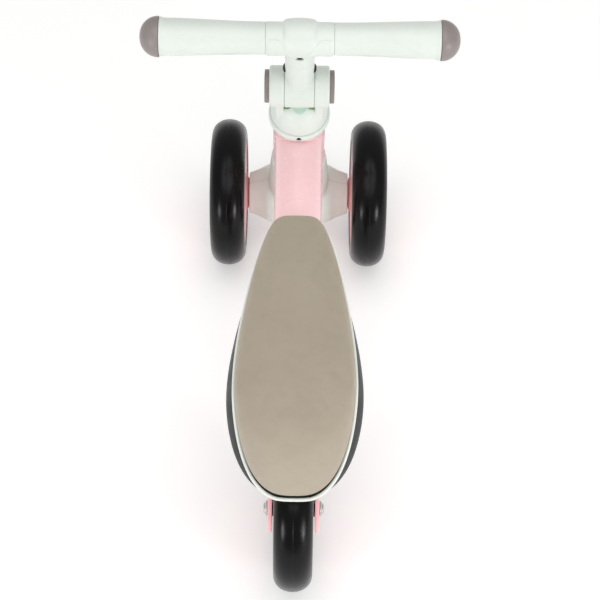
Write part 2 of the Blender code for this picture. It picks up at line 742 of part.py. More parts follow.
def rear_yoke():
    """A hollow bridge across the tube's end, with a dropout plate on each side of it."""
    front = TUBE_END.y - 3.6 * MM
    centre_y = front - BRIDGE_SIZE.y / 2
    centre_z = TUBE_END.z - 1 * MM
    bridge = block("yoke_bridge", BRIDGE_SIZE, "pink_paint", None, at(0, centre_y, centre_z))
    inner = Vector((2 * BRIDGE_SIZE.x, BRIDGE_SIZE.y - 2 * BRIDGE_WALL, BRIDGE_SIZE.z - 2 * BRIDGE_WALL))
    cut(bridge, block("bridge_hollow", inner, None, None, at(0, centre_y, centre_z)))
    axle = (-WHEELBASE / 2, WHEEL_RADIUS)
    rear = front - BRIDGE_SIZE.y
    top = centre_z + BRIDGE_SIZE.z / 2
    lower = centre_z - BRIDGE_SIZE.z / 2
    plate = arc(axle, DROPOUT_RADIUS, 140, 322, 12) + [(front, lower), (front, top), (rear, top + 1 * MM)]
    hole = arc(axle, AXLE_RADIUS + GAP, 337.5, 0, 15)
    upright_yz = Matrix(((0, 0, 1, 0), (1, 0, 0, 0), (0, 1, 0, 0), (0, 0, 0, 1)))
    thickness = DROPOUT_X[1] - DROPOUT_X[0]
    for label, side in (("left", -1), ("right", 1)):
        place = at(side * sum(DROPOUT_X) / 2, 0, 0) @ upright_yz
        outline("dropout_" + label, [plate, hole], thickness, "pink_paint", None, place)


# Seat


def seat_outline(index):
    """(x, y, share of the side wall's bulge) of a point on the seam: a pear, narrow at the nose."""
    angle = math.tau * (index + 0.5) / SEAT_POINTS
    along = math.cos(angle)
    across = math.sin(angle)
    half_length = (SEAT_NOSE_Y - SEAT_REAR_Y) / 2
    y = (SEAT_NOSE_Y + SEAT_REAR_Y) / 2 + half_length * along
    round_off = math.copysign(abs(across) ** (0.57 - 0.13 * along), across)
    x = SEAT_HALF * (0.95 - 0.27 * along) * round_off
    return x, y, round_off * (1 - ((1 + along) / 2) ** 2)


def seam_drop(y):
    """How far the seam has dropped by y: nothing at the front, all of SEAM_DROP at the rear end."""
    share = min(1, max(0, (SEAM_DROP_Y - y) / (SEAM_DROP_Y - SEAT_REAR_Y)))
    return SEAM_DROP * share**1.6


def seat_ring(scale, lift, wider=0, shorter=0, rise=0, behind=0):
    """Points round the seat: scale draws them to the middle, lift raises them, and the rest shapes the wall."""
    middle_y = (SEAT_NOSE_Y + SEAT_REAR_Y) / 2
    half_length = (SEAT_NOSE_Y - SEAT_REAR_Y) / 2
    points = []
    for index in range(SEAT_POINTS):
        x, y, bulge = seat_outline(index)
        z = SEAM_Z - seam_drop(middle_y + (y - middle_y) * scale)
        z += (SEAT_TOP_Z - z) * rise
        y_offset = (y - middle_y) * (1 - shorter / half_length)
        y_offset -= behind * max(0, (middle_y - y) / half_length) ** 4
        points.append(((x + wider * bulge) * scale, middle_y + y_offset * scale, z + lift))
    return points


def loft(name, rings, look, close_last=True):
    """Joins rings of points, from a fan at the first to an open edge or a fan at the last."""
    bm = bmesh.new()
    rows = [[bm.verts.new(point) for point in ring] for ring in rings]
    count = len(rows[0])
    for low, high in zip(rows, rows[1:]):
        widens = high[count // 4].co.x >= low[count // 4].co.x
        for i in range(count):
            j = (i + 1) % count
            # Each diagonal leaves the narrower ring at i, so that surfaces laid on each other split alike.
            first, second = (high[j], low[i]) if widens else (high[i], low[j])
            bm.faces.new((low[i], low[j], first))
            bm.faces.new((second, high[j], high[i]))
    for row, wanted in ((rows[0][::-1], True), (rows[-1], close_last)):
        if wanted:
            middle = sum((vert.co for vert in row), Vector()) / count
            centre = bm.verts.new(middle)
            for i in range(count):
                bm.faces.new((row[i], row[(i + 1) % count], centre))
    if close_last:
        bmesh.ops.recalc_face_normals(bm, faces=bm.faces)
    mesh = bpy.data.meshes.new(name)
    bm.to_mesh(mesh)
    bm.free()
    smooth_mesh(mesh)
    return add(name, mesh, look)


def seat():
    """Cushion on a board, a trim round the seam, and the pan below, which the brackets hold."""
    flat = (0.25, 0.6, 0.94)
    under = [seat_ring(scale, GAP) for scale in (*flat, 1)]
    wall = []
    for scale, rise, bulge in ((0.993, 0.2, 0.8), (0.97, 0.48, 1), (0.91, 0.75, 0.7)):
        wall.append(seat_ring(scale, GAP, rise=rise, behind=bulge * REAR_BULGE))
    top = [seat_ring(scale, GAP, rise=rise) for scale, rise in ((0.78, 0.93), (0.4, 1))]
    loft("seat_cushion", under + wall + top, "taupe_pad")

    board = [seat_ring(scale, -0.4 * MM) for scale in flat]
    board_under = [seat_ring(scale, -3.8 * MM) for scale in reversed(flat)]
    plate = loft("seat_board", board + board_under, "board")

    deck = [seat_ring(scale, DECK_LIFT) for scale in (*flat, 1)]
    bulge = seat_ring(1, -20 * MM, wider=9.4 * MM, shorter=3 * MM)
    skirt = seat_ring(1, -35 * MM, wider=1 * MM, shorter=8 * MM)
    for ring, depth in ((bulge, 20 * MM), (skirt, 35 * MM)):
        for index, (x, y, z) in enumerate(ring):
            share = seam_drop(seat_outline(index)[1]) / SEAM_DROP
            ring[index] = (x, y, z + 0.74 * depth * share)
    pan = loft("seat_pan", deck + [bulge, skirt], "charcoal", close_last=False)
    shell = pan.modifiers.new("wall", "SOLIDIFY")
    shell.thickness = PAN_WALL
    shell.offset = -1
    for target in (plate, pan):
        cut(target, *bolt_cylinders("hole_" + target.name))
    cut(pan, cylinder("tube_notch", TUBE_RADII[0] + 1.2 * MM, 300 * MM, None, None, tube_place(), STEPS))
    seat_trim()
    seat_mount()


def seat_trim():
    """A round bead along the seam."""
    curve = bpy.data.curves.new("seat_trim", "CURVE")
    curve.dimensions = "3D"
    curve.bevel_depth = 1.7 * MM
    curve.bevel_resolution = 1
    spline = curve.splines.new("POLY")
    spline.points.add(SEAT_POINTS - 1)
    spline.use_cyclic_u = True
    for point, (x, y, z) in zip(spline.points, seat_ring(1.008, -2.25 * MM)):
        point.co = (x, y, z, 1)
    add("seat_trim", curve, "white_trim")


def bolt_cylinders(name):
    """Cutters for the two bolts' holes in the board, the pan or the brackets."""
    low = SEAM_Z - 18 * MM
    cutters = []
    for label, y in BRACKET_YS:
        cutters.append(cylinder(f"{name}_{label}", BOLT_HOLE_RADIUS, DRILL / 2, None, None, at(0, y, low), 12))
    return cutters


def seat_mount():
    """Two saddle brackets astride the main tube, and the bolts up through them into the board."""
    top = SEAM_Z + DECK_LIFT - PAN_WALL - GAP
    thickness = 2.5 * MM
    inner = TUBE_RADII[0] + GAP
    outer = inner + thickness
    drill = bolt_cylinders("hole_bracket")
    for label, y in BRACKET_YS:
        tube_z = TUBE_START.z + (TUBE_END.z - TUBE_START.z) * (TUBE_START.y - y) / (TUBE_START.y - TUBE_END.y)
        legs = tube_z - 2 * MM
        half = [(outer, legs), (outer, top), (-outer, top), (-outer, legs)]
        inside = [(-inner, legs), (-inner, top - thickness), (inner, top - thickness), (inner, legs)]
        face_forward = at(0, y, 0, Matrix.Rotation(math.pi / 2, 4, "X"))
        plate = outline("seat_bracket_" + label, [half + inside], 30 * MM, "black_steel", None, face_forward)
        plate = to_mesh(plate)
        cut(plate, *drill)
    seat_bolts(top - thickness - GAP)


def seat_bolts(under):
    """One hexagon bolt up through each bracket, with its head below."""
    top = SEAM_Z - 0.6 * MM
    low = under - 3.6 * MM
    profile = [(0, top), (3 * MM, top), (3 * MM, under), (5 * MM, under), (5 * MM, low), (0, low)]
    for label, y in BRACKET_YS:
        turned("seat_bolt_" + label, profile, "zinc", None, at(0, y, 0), 6)


def to_mesh(obj):
    """Turns a curve object into a mesh object of the same name and place, with its caps welded."""
    bpy.context.view_layer.update()
    graph = bpy.context.evaluated_depsgraph_get()
    mesh = bpy.data.meshes.new_from_object(obj.evaluated_get(graph))
    bm = bmesh.new()
    bm.from_mesh(mesh)
    bmesh.ops.remove_doubles(bm, verts=bm.verts, dist=MERGE)
    bm.to_mesh(mesh)
    bm.free()
    name = obj.name
    world = obj.matrix_world.copy()
    bpy.data.objects.remove(obj)
    made = bpy.data.objects.new(name, mesh)
    PARTS.objects.link(made)
    made.matrix_world = world
    return made


def build():
    steering = empty("steering_axis", None, at(0, WHEELBASE / 2, WHEEL_RADIUS) @ Matrix.Rotation(RAKE, 4, "X"))
    fold = empty("fold_axis", steering, at(0, 0, FOLD_S))
    rear = empty("rear_wheel_axis", None, at(0, -WHEELBASE / 2, WHEEL_RADIUS))
    level = Matrix.Rotation(-RAKE, 4, "X")
    for side, x, turn in (("left", -FRONT_WHEEL_X, ALONG_MINUS_X), ("right", FRONT_WHEEL_X, ALONG_X)):
        axis = empty(f"{side}_wheel_axis", steering, at(x, 0, 0) @ level)
        wheel(side, axis, turn, FRONT_HUB_FACE, FRONT_HUB_END, 0)
    wheel("rear", rear, ALONG_X, HUB_FACE, HUB_FACE, BEARING_RADIUS + 5 * MM)
    rear_axle_set(rear)
    front_axle_set(steering)
    fork_shells(steering)
    fork_core(steering)
    head(steering)
    hinge_base(steering)
    hinge_moving_parts(steering)
    stem(steering, fold)
    bar_clamp(fold)
    grips_and_caps(fold)
    main_tube(steering)
    rear_yoke()
    seat()


build()
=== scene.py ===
import json
import math

import bmesh
import bpy
import numpy as np
from mathutils import Matrix, Vector


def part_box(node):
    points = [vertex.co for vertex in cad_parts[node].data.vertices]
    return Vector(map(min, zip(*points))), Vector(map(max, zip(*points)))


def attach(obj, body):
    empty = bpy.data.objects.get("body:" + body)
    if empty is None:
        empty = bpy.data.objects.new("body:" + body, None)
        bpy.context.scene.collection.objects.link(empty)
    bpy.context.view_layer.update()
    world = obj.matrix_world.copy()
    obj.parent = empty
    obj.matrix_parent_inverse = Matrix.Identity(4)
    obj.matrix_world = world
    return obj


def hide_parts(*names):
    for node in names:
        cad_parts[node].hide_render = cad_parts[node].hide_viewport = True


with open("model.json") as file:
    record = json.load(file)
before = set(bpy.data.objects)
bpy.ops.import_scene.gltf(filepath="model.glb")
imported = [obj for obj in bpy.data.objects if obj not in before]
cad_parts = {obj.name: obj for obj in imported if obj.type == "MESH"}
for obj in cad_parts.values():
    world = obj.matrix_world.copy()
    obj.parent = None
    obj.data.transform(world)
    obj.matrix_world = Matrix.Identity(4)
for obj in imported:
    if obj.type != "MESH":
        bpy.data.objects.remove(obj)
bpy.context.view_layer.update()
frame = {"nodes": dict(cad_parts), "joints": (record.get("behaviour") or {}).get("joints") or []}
nodes = frame["nodes"]
mm = 0.001
sides = (("left", -1), ("right", 1))
print("frame loaded:", len(nodes), "nodes")

steerJoint = next(j for j in frame["joints"] if j["name"] == "steering")
foldJoint = next(j for j in frame["joints"] if j["name"] == "handlebar_fold")


def boxOf(node):
    # lowest and highest corner in metres, as arrays
    low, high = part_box(node)
    return np.array(low), np.array(high)


def middleOf(node):
    low, high = boxOf(node)
    return (low + high) / 2


def placeWith(origin, zAxis, xAxis):
    # 4 x 4 place whose third column is zAxis and whose first is as near xAxis as can be
    z = np.array(zAxis, float) / np.linalg.norm(zAxis)
    x = np.array(xAxis, float) - z * np.dot(z, xAxis)
    x /= np.linalg.norm(x)
    place = np.eye(4)
    place[:3, 0] = x
    place[:3, 1] = np.cross(z, x)
    place[:3, 2] = z
    place[:3, 3] = origin
    return place


def shifted(place, x=0.0, y=0.0, z=0.0):
    # the same place moved along its own axes, in mm
    moved = place.copy()
    moved[:3, 3] += place[:3, :3] @ np.array([x, y, z]) * mm
    return moved


def facing(place, direction):
    # local Z turned to a direction given in the place's own axes, local X kept across
    out = place[:3, :3] @ np.array(direction, float)
    side = place[:3, 0] if abs(direction[0]) < 0.5 else place[:3, 1]
    return placeWith(place[:3, 3], out, side)


axle = middleOf("front_axle")
steer = placeWith(axle, steerJoint["axis"], (1, 0, 0))
foldHeight = np.linalg.norm(np.array(foldJoint["pos_m"]) - axle) / mm
barHeight = np.linalg.norm(middleOf("bar_tube") - axle) / mm


def onSteer(s):
    # a place s mm up the steering axis from the front axle
    return shifted(steer, z=s)


def gridFaces(rows, columns, closed):
    # four-cornered faces between neighbouring rows and columns, as whole arrays
    wide = columns if closed else columns - 1
    i, j = np.meshgrid(np.arange(rows - 1), np.arange(wide), indexing="ij")
    k = (j + 1) % columns
    quads = np.stack([i * columns + j, i * columns + k, (i + 1) * columns + k, (i + 1) * columns + j], -1)
    return quads.reshape(-1, 4)


def newObject(name, data):
    obj = bpy.data.objects.new(name, data)
    bpy.context.scene.collection.objects.link(obj)
    return obj


def shadeSmooth(mesh, smooth=True):
    mesh.polygons.foreach_set("use_smooth", np.full(len(mesh.polygons), smooth))


def newPiece(name, points, quads, material, smooth=True):
    # mesh from arrays in metres; doubles are merged at poles, then faces are turned outwards
    mesh = bpy.data.meshes.new(name)
    mesh.from_pydata(points.tolist(), [], quads.tolist())
    work = bmesh.new()
    work.from_mesh(mesh)
    bmesh.ops.remove_doubles(work, verts=work.verts, dist=1e-7)
    bmesh.ops.recalc_face_normals(work, faces=work.faces)
    work.to_mesh(mesh)
    work.free()
    shadeSmooth(mesh, smooth)
    if material:
        mesh.materials.append(material)
    return newObject(name, mesh)


def laidOn(local, place):
    # local points in mm carried to a place, in metres
    return (local * mm) @ place[:3, :3].T + place[:3, 3]


def easedLine(corners, ease, steps=5, closed=False):
    # each corner b between a and c becomes (1-t)^2 A + 2t(1-t) b + t^2 C, where A and C lie ease mm from b
    corners = np.array(corners, float)
    ease = np.broadcast_to(np.array(ease, float), (len(corners),))
    t = np.linspace(0, 1, steps)[:, None]
    line = []
    for n, b in enumerate(corners):
        if not closed and n in (0, len(corners) - 1):
            line.append(b[None])
            continue
        a, c = corners[n - 1], corners[(n + 1) % len(corners)]
        backLength, onLength = np.linalg.norm(a - b), np.linalg.norm(c - b)
        start = b + (a - b) / backLength * min(ease[n], 0.45 * backLength)
        end = b + (c - b) / onLength * min(ease[n], 0.45 * onLength)
        line.append((1 - t) ** 2 * start + 2 * t * (1 - t) * b + t**2 * end)
    return np.concatenate(line)


def turnedPiece(name, profile, place, material=None, steps=128, ring=False, relief=None):
    # (r, h) turned about local Z: (r cos a, r sin a, h), plus a relief of r and h over angle
    profile = np.array(profile, float)
    if ring:
        profile = np.concatenate([profile, profile[:1]])
    angle = np.linspace(0, 2 * np.pi, steps, endpoint=False)
    r = np.repeat(profile[:, :1], steps, 1)
    h = np.repeat(profile[:, 1:], steps, 1)
    if relief:
        r, h = relief(r, h, angle[None, :] + 0 * r)
    local = np.stack([r * np.cos(angle), r * np.sin(angle), h], -1).reshape(-1, 3)
    return newPiece(name, laidOn(local, place), gridFaces(len(profile), steps, True), material)


def tubeAlong(name, path, radius, material, points):
    # a circle of the given radius carried square to a closed path of points in metres
    path = np.array(path, float)
    ahead = np.roll(path, -1, 0) - np.roll(path, 1, 0)
    ahead /= np.linalg.norm(ahead, axis=1)[:, None]
    inward = path.mean(0) - path
    across = np.cross(ahead, inward)
    across /= np.linalg.norm(across, axis=1)[:, None]
    up = np.cross(across, ahead)
    turn = np.linspace(0, 2 * np.pi, points, endpoint=False)
    radius = np.broadcast_to(np.array(radius, float), (len(path),))[:, None, None] * mm
    ring = path[:, None] + radius * (
        np.cos(turn)[None, :, None] * across[:, None] + np.sin(turn)[None, :, None] * up[:, None]
    )
    ring = np.concatenate([ring, ring[:1]])
    return newPiece(name, ring.reshape(-1, 3), gridFaces(len(ring), points, True), material)


def softBox(name, size, place, material, square=0.22, count=28):
    # superquadric: each coordinate is half the size times sign(c)|c|^square of the sphere's own
    lift = np.linspace(-np.pi / 2, np.pi / 2, count)[:, None]
    turn = np.linspace(0, 2 * np.pi, 2 * count, endpoint=False)[None, :]

    def squared(value):
        return np.sign(value) * np.abs(value) ** square

    x = squared(np.cos(lift)) * squared(np.cos(turn)) * size[0] / 2
    y = squared(np.cos(lift)) * squared(np.sin(turn)) * size[1] / 2
    z = squared(np.sin(lift)) * size[2] / 2 + 0 * turn
    local = np.stack([x, y, z], -1).reshape(-1, 3)
    return newPiece(name, laidOn(local, place), gridFaces(count, 2 * count, True), material)


def combined(name, base, others, operation):
    # exact Boolean of the base with each other, applied; the others are used up
    for other in others:
        modifier = base.modifiers.new("combine", "BOOLEAN")
        modifier.operation = operation
        modifier.solver = "EXACT"
        modifier.object = other
        applyModifiers(base)
        bpy.data.objects.remove(other, do_unlink=True)
    base.name = name
    return base


def applyModifiers(obj):
    # the evaluated mesh takes the place of the mesh and its modifiers
    graph = bpy.context.evaluated_depsgraph_get()
    graph.update()
    made = bpy.data.meshes.new_from_object(obj.evaluated_get(graph), depsgraph=graph)
    obj.modifiers.clear()
    obj.data = made


def coated(obj, material):
    obj.data.materials.clear()
    obj.data.materials.append(material)
    return obj


def moulded(obj, voxel, rounds, material):
    # a skin of even small faces over the shape, then its edges eased, as a moulding has them
    modifier = obj.modifiers.new("skin", "REMESH")
    modifier.mode = "VOXEL"
    modifier.voxel_size = voxel * mm
    modifier.use_smooth_shade = True
    applyModifiers(obj)
    easing = obj.modifiers.new("ease", "SMOOTH")
    easing.factor = 0.5
    easing.iterations = rounds
    applyModifiers(obj)
    shadeSmooth(obj.data)
    return coated(obj, material)


def pointsOf(obj):
    points = np.empty(len(obj.data.vertices) * 3)
    obj.data.vertices.foreach_get("co", points)
    return points.reshape(-1, 3)


def setPoints(obj, points):
    obj.data.vertices.foreach_set("co", points.ravel())
    obj.data.update()


def localPoints(points, place):
    # metres in the row frame to mm in a place's own axes
    return (points - place[:3, 3]) @ place[:3, :3] / mm


def smoothStep(value, low, high):
    t = np.clip((value - low) / (high - low), 0, 1)
    return t * t * (3 - 2 * t)


def finishPiece(obj, body, slot, *replaced):
    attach(obj, body)
    if replaced:
        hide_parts(*replaced)
    return obj


def newGroup(name, inputs, outputs):
    # a shader node group with named float, colour or vector sockets
    kinds = {"f": "NodeSocketFloat", "c": "NodeSocketColor", "v": "NodeSocketVector"}
    group = bpy.data.node_groups.new(name, "ShaderNodeTree")
    for socket, kind, value in inputs:
        made = group.interface.new_socket(socket, in_out="INPUT", socket_type=kinds[kind])
        if value is not None:
            made.default_value = value
    for socket, kind in outputs:
        group.interface.new_socket(socket, in_out="OUTPUT", socket_type=kinds[kind])
    return group, group.nodes.new("NodeGroupInput").outputs, group.nodes.new("NodeGroupOutput").inputs


def node(tree, kind, inputs=(), **settings):
    # adds a node, sets its properties, and fills its sockets with values or links
    made = tree.nodes.new("ShaderNode" + kind)
    for key, value in settings.items():
        setattr(made, key, value)
    for key, value in dict(inputs).items():
        if isinstance(value, bpy.types.NodeSocket):
            tree.links.new(value, made.inputs[key])
        else:
            made.inputs[key].default_value = value
    return made


def mathNode(tree, operation, a, b=0.0, clamp=False):
    return node(tree, "Math", {0: a, 1: b}, operation=operation, use_clamp=clamp).outputs[0]


def ramp(tree, value, low, high, toLow=0.0, toHigh=1.0):
    sockets = {0: value, 1: low, 2: high, 3: toLow, 4: toHigh}
    return node(tree, "MapRange", sockets, interpolation_type="SMOOTHSTEP").outputs[0]


def mixColour(tree, factor, a, b):
    return node(tree, "Mix", {0: factor, 6: a, 7: b}, data_type="RGBA").outputs[2]


def makeToneDrift():
    # a slow, faint change of tone over the surface, and a finer mottling inside it
    inputs = [("Vector", "v", None), ("Colour", "c", (0.8, 0.8, 0.8, 1)), ("Deep", "c", (0.6, 0.6, 0.6, 1))]
    inputs += [("Size", "f", 18.0), ("Amount", "f", 0.5)]
    group, start, end = newGroup("toneDrift", inputs, [("Colour", "c"), ("Mask", "f")])
    place, size = start["Vector"], start["Size"]
    slow = node(group, "TexNoise", {"Vector": place, "Scale": size, "Detail": 3.0})
    fineSize = mathNode(group, "MULTIPLY", size, 9.0)
    fine = node(group, "TexNoise", {"Vector": place, "Scale": fineSize, "Detail": 4.0})
    slowMask = ramp(group, slow.outputs[0], 0.35, 0.68)
    fineMask = ramp(group, fine.outputs[0], 0.4, 0.7, 0.0, 0.45)
    both = mathNode(group, "ADD", slowMask, fineMask, True)
    mask = mathNode(group, "MULTIPLY", both, start["Amount"])
    colour = mixColour(group, mask, start["Colour"], start["Deep"])
    group.links.new(colour, end["Colour"])
    group.links.new(mask, end["Mask"])
    return group


def makePebble():
    # a moulded pebble: rounded cells broken up by fine noise
    inputs = [("Vector", "v", None), ("Size", "f", 1400.0), ("Rough", "f", 0.4)]
    group, start, end = newGroup("pebble", inputs, [("Height", "f")])
    place, size = start["Vector"], start["Size"]
    sockets = {"Vector": place, "Scale": size, "Smoothness": 0.6}
    cells = node(group, "TexVoronoi", sockets, feature="SMOOTH_F1")
    noiseSize = mathNode(group, "MULTIPLY", size, 1.9)
    noise = node(group, "TexNoise", {"Vector": place, "Scale": noiseSize, "Detail": 2.0})
    broken = mathNode(group, "MULTIPLY", noise.outputs[0], start["Rough"])
    group.links.new(mathNode(group, "ADD", cells.outputs["Distance"], broken), end["Height"])
    return group


def makeHandling():
    # faint rub marks and hairline scratches left by handling
    inputs = [("Vector", "v", None), ("Low", "f", 0.3), ("High", "f", 0.45)]
    inputs += [("Stretch", "v", (1.0, 6.0, 1.0))]
    group, start, end = newGroup("handling", inputs, [("Roughness", "f"), ("Scratches", "f"), ("Dust", "f")])
    place = start["Vector"]
    sockets = {"Vector": place, "Scale": 42.0, "Detail": 5.0, "Roughness": 0.62}
    cloud = node(group, "TexNoise", sockets)
    rubbed = ramp(group, cloud.outputs[0], 0.36, 0.66)
    span = mathNode(group, "SUBTRACT", start["High"], start["Low"])
    rough = mathNode(group, "ADD", mathNode(group, "MULTIPLY", rubbed, span), start["Low"])
    long = node(group, "VectorMath", {0: place, 1: start["Stretch"]}, operation="MULTIPLY")
    sockets = {"Vector": long.outputs[0], "Scale": 210.0, "Detail": 2.0, "Distortion": 0.4}
    hair = node(group, "TexNoise", sockets)
    away = mathNode(group, "ABSOLUTE", mathNode(group, "SUBTRACT", hair.outputs[0], 0.5))
    line = ramp(group, away, 0.0, 0.006, 1.0, 0.0)
    patch = node(group, "TexNoise", {"Vector": place, "Scale": 30.0, "Detail": 1.0})
    scratches = mathNode(group, "MULTIPLY", line, ramp(group, patch.outputs[0], 0.56, 0.7))
    specks = node(group, "TexNoise", {"Vector": place, "Scale": 900.0, "Detail": 3.0})
    dust = ramp(group, specks.outputs[0], 0.66, 0.78)
    group.links.new(rough, end["Roughness"])
    group.links.new(scratches, end["Scratches"])
    group.links.new(dust, end["Dust"])
    return group


def makeLeather():
    # hide-like grain: two sizes of cells with creases between them
    inputs = [("Vector", "v", None), ("Size", "f", 620.0)]
    group, start, end = newGroup("leatherGrain", inputs, [("Height", "f"), ("Creases", "f")])
    place, size = start["Vector"], start["Size"]
    bend = node(group, "TexNoise", {"Vector": place, "Scale": 160.0, "Detail": 2.0})
    push = node(group, "VectorMath", {0: bend.outputs["Color"], "Scale": 0.0022}, operation="SCALE")
    warped = node(group, "VectorMath", {0: place, 1: push.outputs[0]}, operation="ADD").outputs[0]
    big = node(group, "TexVoronoi", {"Vector": warped, "Scale": size}, feature="DISTANCE_TO_EDGE")
    smallSize = mathNode(group, "MULTIPLY", size, 2.3)
    small = node(group, "TexVoronoi", {"Vector": warped, "Scale": smallSize}, feature="DISTANCE_TO_EDGE")
    bigHeight = ramp(group, big.outputs["Distance"], 0.0, 0.16)
    smallHeight = ramp(group, small.outputs["Distance"], 0.0, 0.2, 0.0, 0.35)
    group.links.new(mathNode(group, "ADD", bigHeight, smallHeight), end["Height"])
    group.links.new(mathNode(group, "SUBTRACT", 1.0, bigHeight), end["Creases"])
    return group


def makeMouldLine():
    # a raised line where two mould halves met: 1 on the line and 0 a width away from it
    inputs = [("Along", "f", 0.0), ("Centre", "f", 0.0), ("Width", "f", 0.0003)]
    group, start, end = newGroup("mouldLine", inputs, [("Height", "f")])
    offset = mathNode(group, "SUBTRACT", start["Along"], start["Centre"])
    away = mathNode(group, "ABSOLUTE", offset)
    share = mathNode(group, "DIVIDE", away, start["Width"])
    group.links.new(ramp(group, share, 0.4, 1.0, 1.0, 0.0), end["Height"])
    return group


groups = {
    "tone": makeToneDrift(),
    "pebble": makePebble(),
    "handling": makeHandling(),
    "leather": makeLeather(),
    "line": makeMouldLine(),
}
print("effects made:", ", ".join(groups))


def colour(code):
    # "rrggbb" as a linear colour
    parts = np.array([int(code[i:i + 2], 16) for i in (0, 2, 4)]) / 255
    parts = np.where(parts > 0.04045, ((parts + 0.055) / 1.055) ** 2.4, parts / 12.92)
    return (*parts.tolist(), 1)


def groupNode(tree, key, inputs):
    return node(tree, "Group", inputs, node_tree=groups[key])


def newMaterial(name, settings):
    # tone drift under a pebble, with handling marks in the roughness and the bump
    material = bpy.data.materials.new(name)
    material.use_nodes = True
    tree = material.node_tree
    shader = tree.nodes["Principled BSDF"]
    place = node(tree, "TexCoord").outputs["Object"]
    deep = colour(settings["deep"])
    sockets = {"Vector": place, "Colour": colour(settings["colour"]), "Deep": deep,
               "Size": settings.get("toneSize", 18.0), "Amount": settings.get("tone", 0.5)}
    tone = groupNode(tree, "tone", sockets)
    low, high = settings["roughness"]
    stretch = settings.get("stretch", (1.0, 6.0, 1.0))
    marks = groupNode(tree, "handling", {"Vector": place, "Low": low, "High": high, "Stretch": stretch})
    kind = settings.get("surface", "pebble")
    grain = groupNode(tree, kind, {"Vector": place, "Size": settings["grain"]}).outputs["Height"]
    height = mathNode(tree, "SUBTRACT", grain, mathNode(tree, "MULTIPLY", marks.outputs["Scratches"], 0.8))
    paint = tone.outputs["Colour"]
    dusted = mathNode(tree, "MULTIPLY", marks.outputs["Dust"], settings.get("dust", 0.15))
    paint = mixColour(tree, dusted, paint, colour(settings.get("dustColour", "c9c5bd")))
    bump = node(tree, "Bump", {"Height": height, "Distance": settings["depth"] * mm, "Strength": 1.0})
    tree.links.new(paint, shader.inputs["Base Color"])
    tree.links.new(marks.outputs["Roughness"], shader.inputs["Roughness"])
    tree.links.new(bump.outputs[0], shader.inputs["Normal"])
    fixed = {"Metallic": "metal", "Coat Weight": "coat", "Coat Roughness": "coatRoughness",
             "Specular IOR Level": "specular", "Subsurface Weight": "glow", "Sheen Weight": "sheen"}
    usual = {"coatRoughness": 0.1, "specular": 0.5}
    for socket, key in fixed.items():
        shader.inputs[socket].default_value = settings.get(key, usual.get(key, 0.0))
    shader.inputs["Subsurface Scale"].default_value = 0.004
    material.diffuse_color = colour(settings["colour"])
    return material


def addLine(material, axis, centre, width, depth):
    # a mould line square to one axis, added to the material's own bump
    tree = material.node_tree
    bump = next(n for n in tree.nodes if n.type == "BUMP")
    before = bump.inputs["Height"].links[0].from_socket
    parts = node(tree, "SeparateXYZ", {0: node(tree, "TexCoord").outputs["Object"]})
    line = groupNode(tree, "line", {"Along": parts.outputs[axis], "Centre": centre, "Width": width * mm})
    raised = mathNode(tree, "MULTIPLY", line.outputs["Height"], depth)
    tree.links.new(mathNode(tree, "ADD", before, raised), bump.inputs["Height"])
    return material


finishes = {
    "mintPlastic": dict(colour="e3eae3", deep="dbe4dc", roughness=(0.34, 0.46), grain=2600.0, depth=0.012,
                        glow=0.04, dust=0.06),
    # a darker, greener copy of the mint for the scoop's faces: painted shade of the recess
    "scoopShadeMint": dict(colour="d8ede0", deep="cfe6d8", roughness=(0.4, 0.5), grain=2200.0, depth=0.012),
    "pinkPaint": dict(colour="ffd5d8", deep="fccdd1", roughness=(0.24, 0.36), grain=300.0, depth=0.005,
                      tone=0.45, coat=0.2, coatRoughness=0.14, dust=0.04),
    "pinkPlastic": dict(colour="f4b9bb", deep="ecaeb2", roughness=(0.34, 0.5), grain=1900.0, depth=0.015,
                        dust=0.08),
    "greyPlastic": dict(colour="918885", deep="867d7a", roughness=(0.3, 0.42), grain=2200.0, depth=0.015),
    "charcoalPlastic": dict(colour="2e2f31", deep="262729", roughness=(0.42, 0.56), grain=1500.0, depth=0.05,
                            tone=0.5, dust=0.1),
    "whiteTrim": dict(colour="edf1ea", deep="e0e5dc", roughness=(0.34, 0.46), grain=2400.0, depth=0.01, tone=0.4,
                      dust=0.08),
    "taupePad": dict(colour="b0a492", deep="a59987", roughness=(0.46, 0.6), grain=760.0, depth=0.05, tone=0.55,
                    toneSize=11.0, surface="leather", sheen=0.05, dust=0.05),
    "tyreRubber": dict(colour="030304", deep="060607", roughness=(0.2, 0.29), grain=1700.0, depth=0.02, tone=0.6,
                       dust=0.05, dustColour="222221", specular=0.2),
    "steel": dict(colour="b9babc", deep="a4a5a8", roughness=(0.24, 0.4), grain=1500.0, depth=0.01, metal=1.0,
                  stretch=(1.0, 18.0, 1.0)),
    "zinc": dict(colour="c9c9c6", deep="b4b4b0", roughness=(0.28, 0.45), grain=1200.0, depth=0.012, metal=1.0),
    "blackSteel": dict(colour="3b3a3c", deep="2a292b", roughness=(0.3, 0.48), grain=1300.0, depth=0.015, metal=1.0),
    "blackPlastic": dict(colour="1b1b1c", deep="252526", roughness=(0.4, 0.55), grain=1800.0, depth=0.02),
    "greenPlastic": dict(colour="86bd62", deep="78ae55", roughness=(0.36, 0.5), grain=2000.0, depth=0.012),
    "nylon": dict(colour="dedcd4", deep="cfccc2", roughness=(0.42, 0.55), grain=1600.0, depth=0.012, glow=0.1),
    "board": dict(colour="2f2a26", deep="241f1c", roughness=(0.55, 0.7), grain=420.0, depth=0.08, tone=0.7),
}
looks = {name: newMaterial(name, settings) for name, settings in finishes.items()}
print("finishes made:", len(looks))

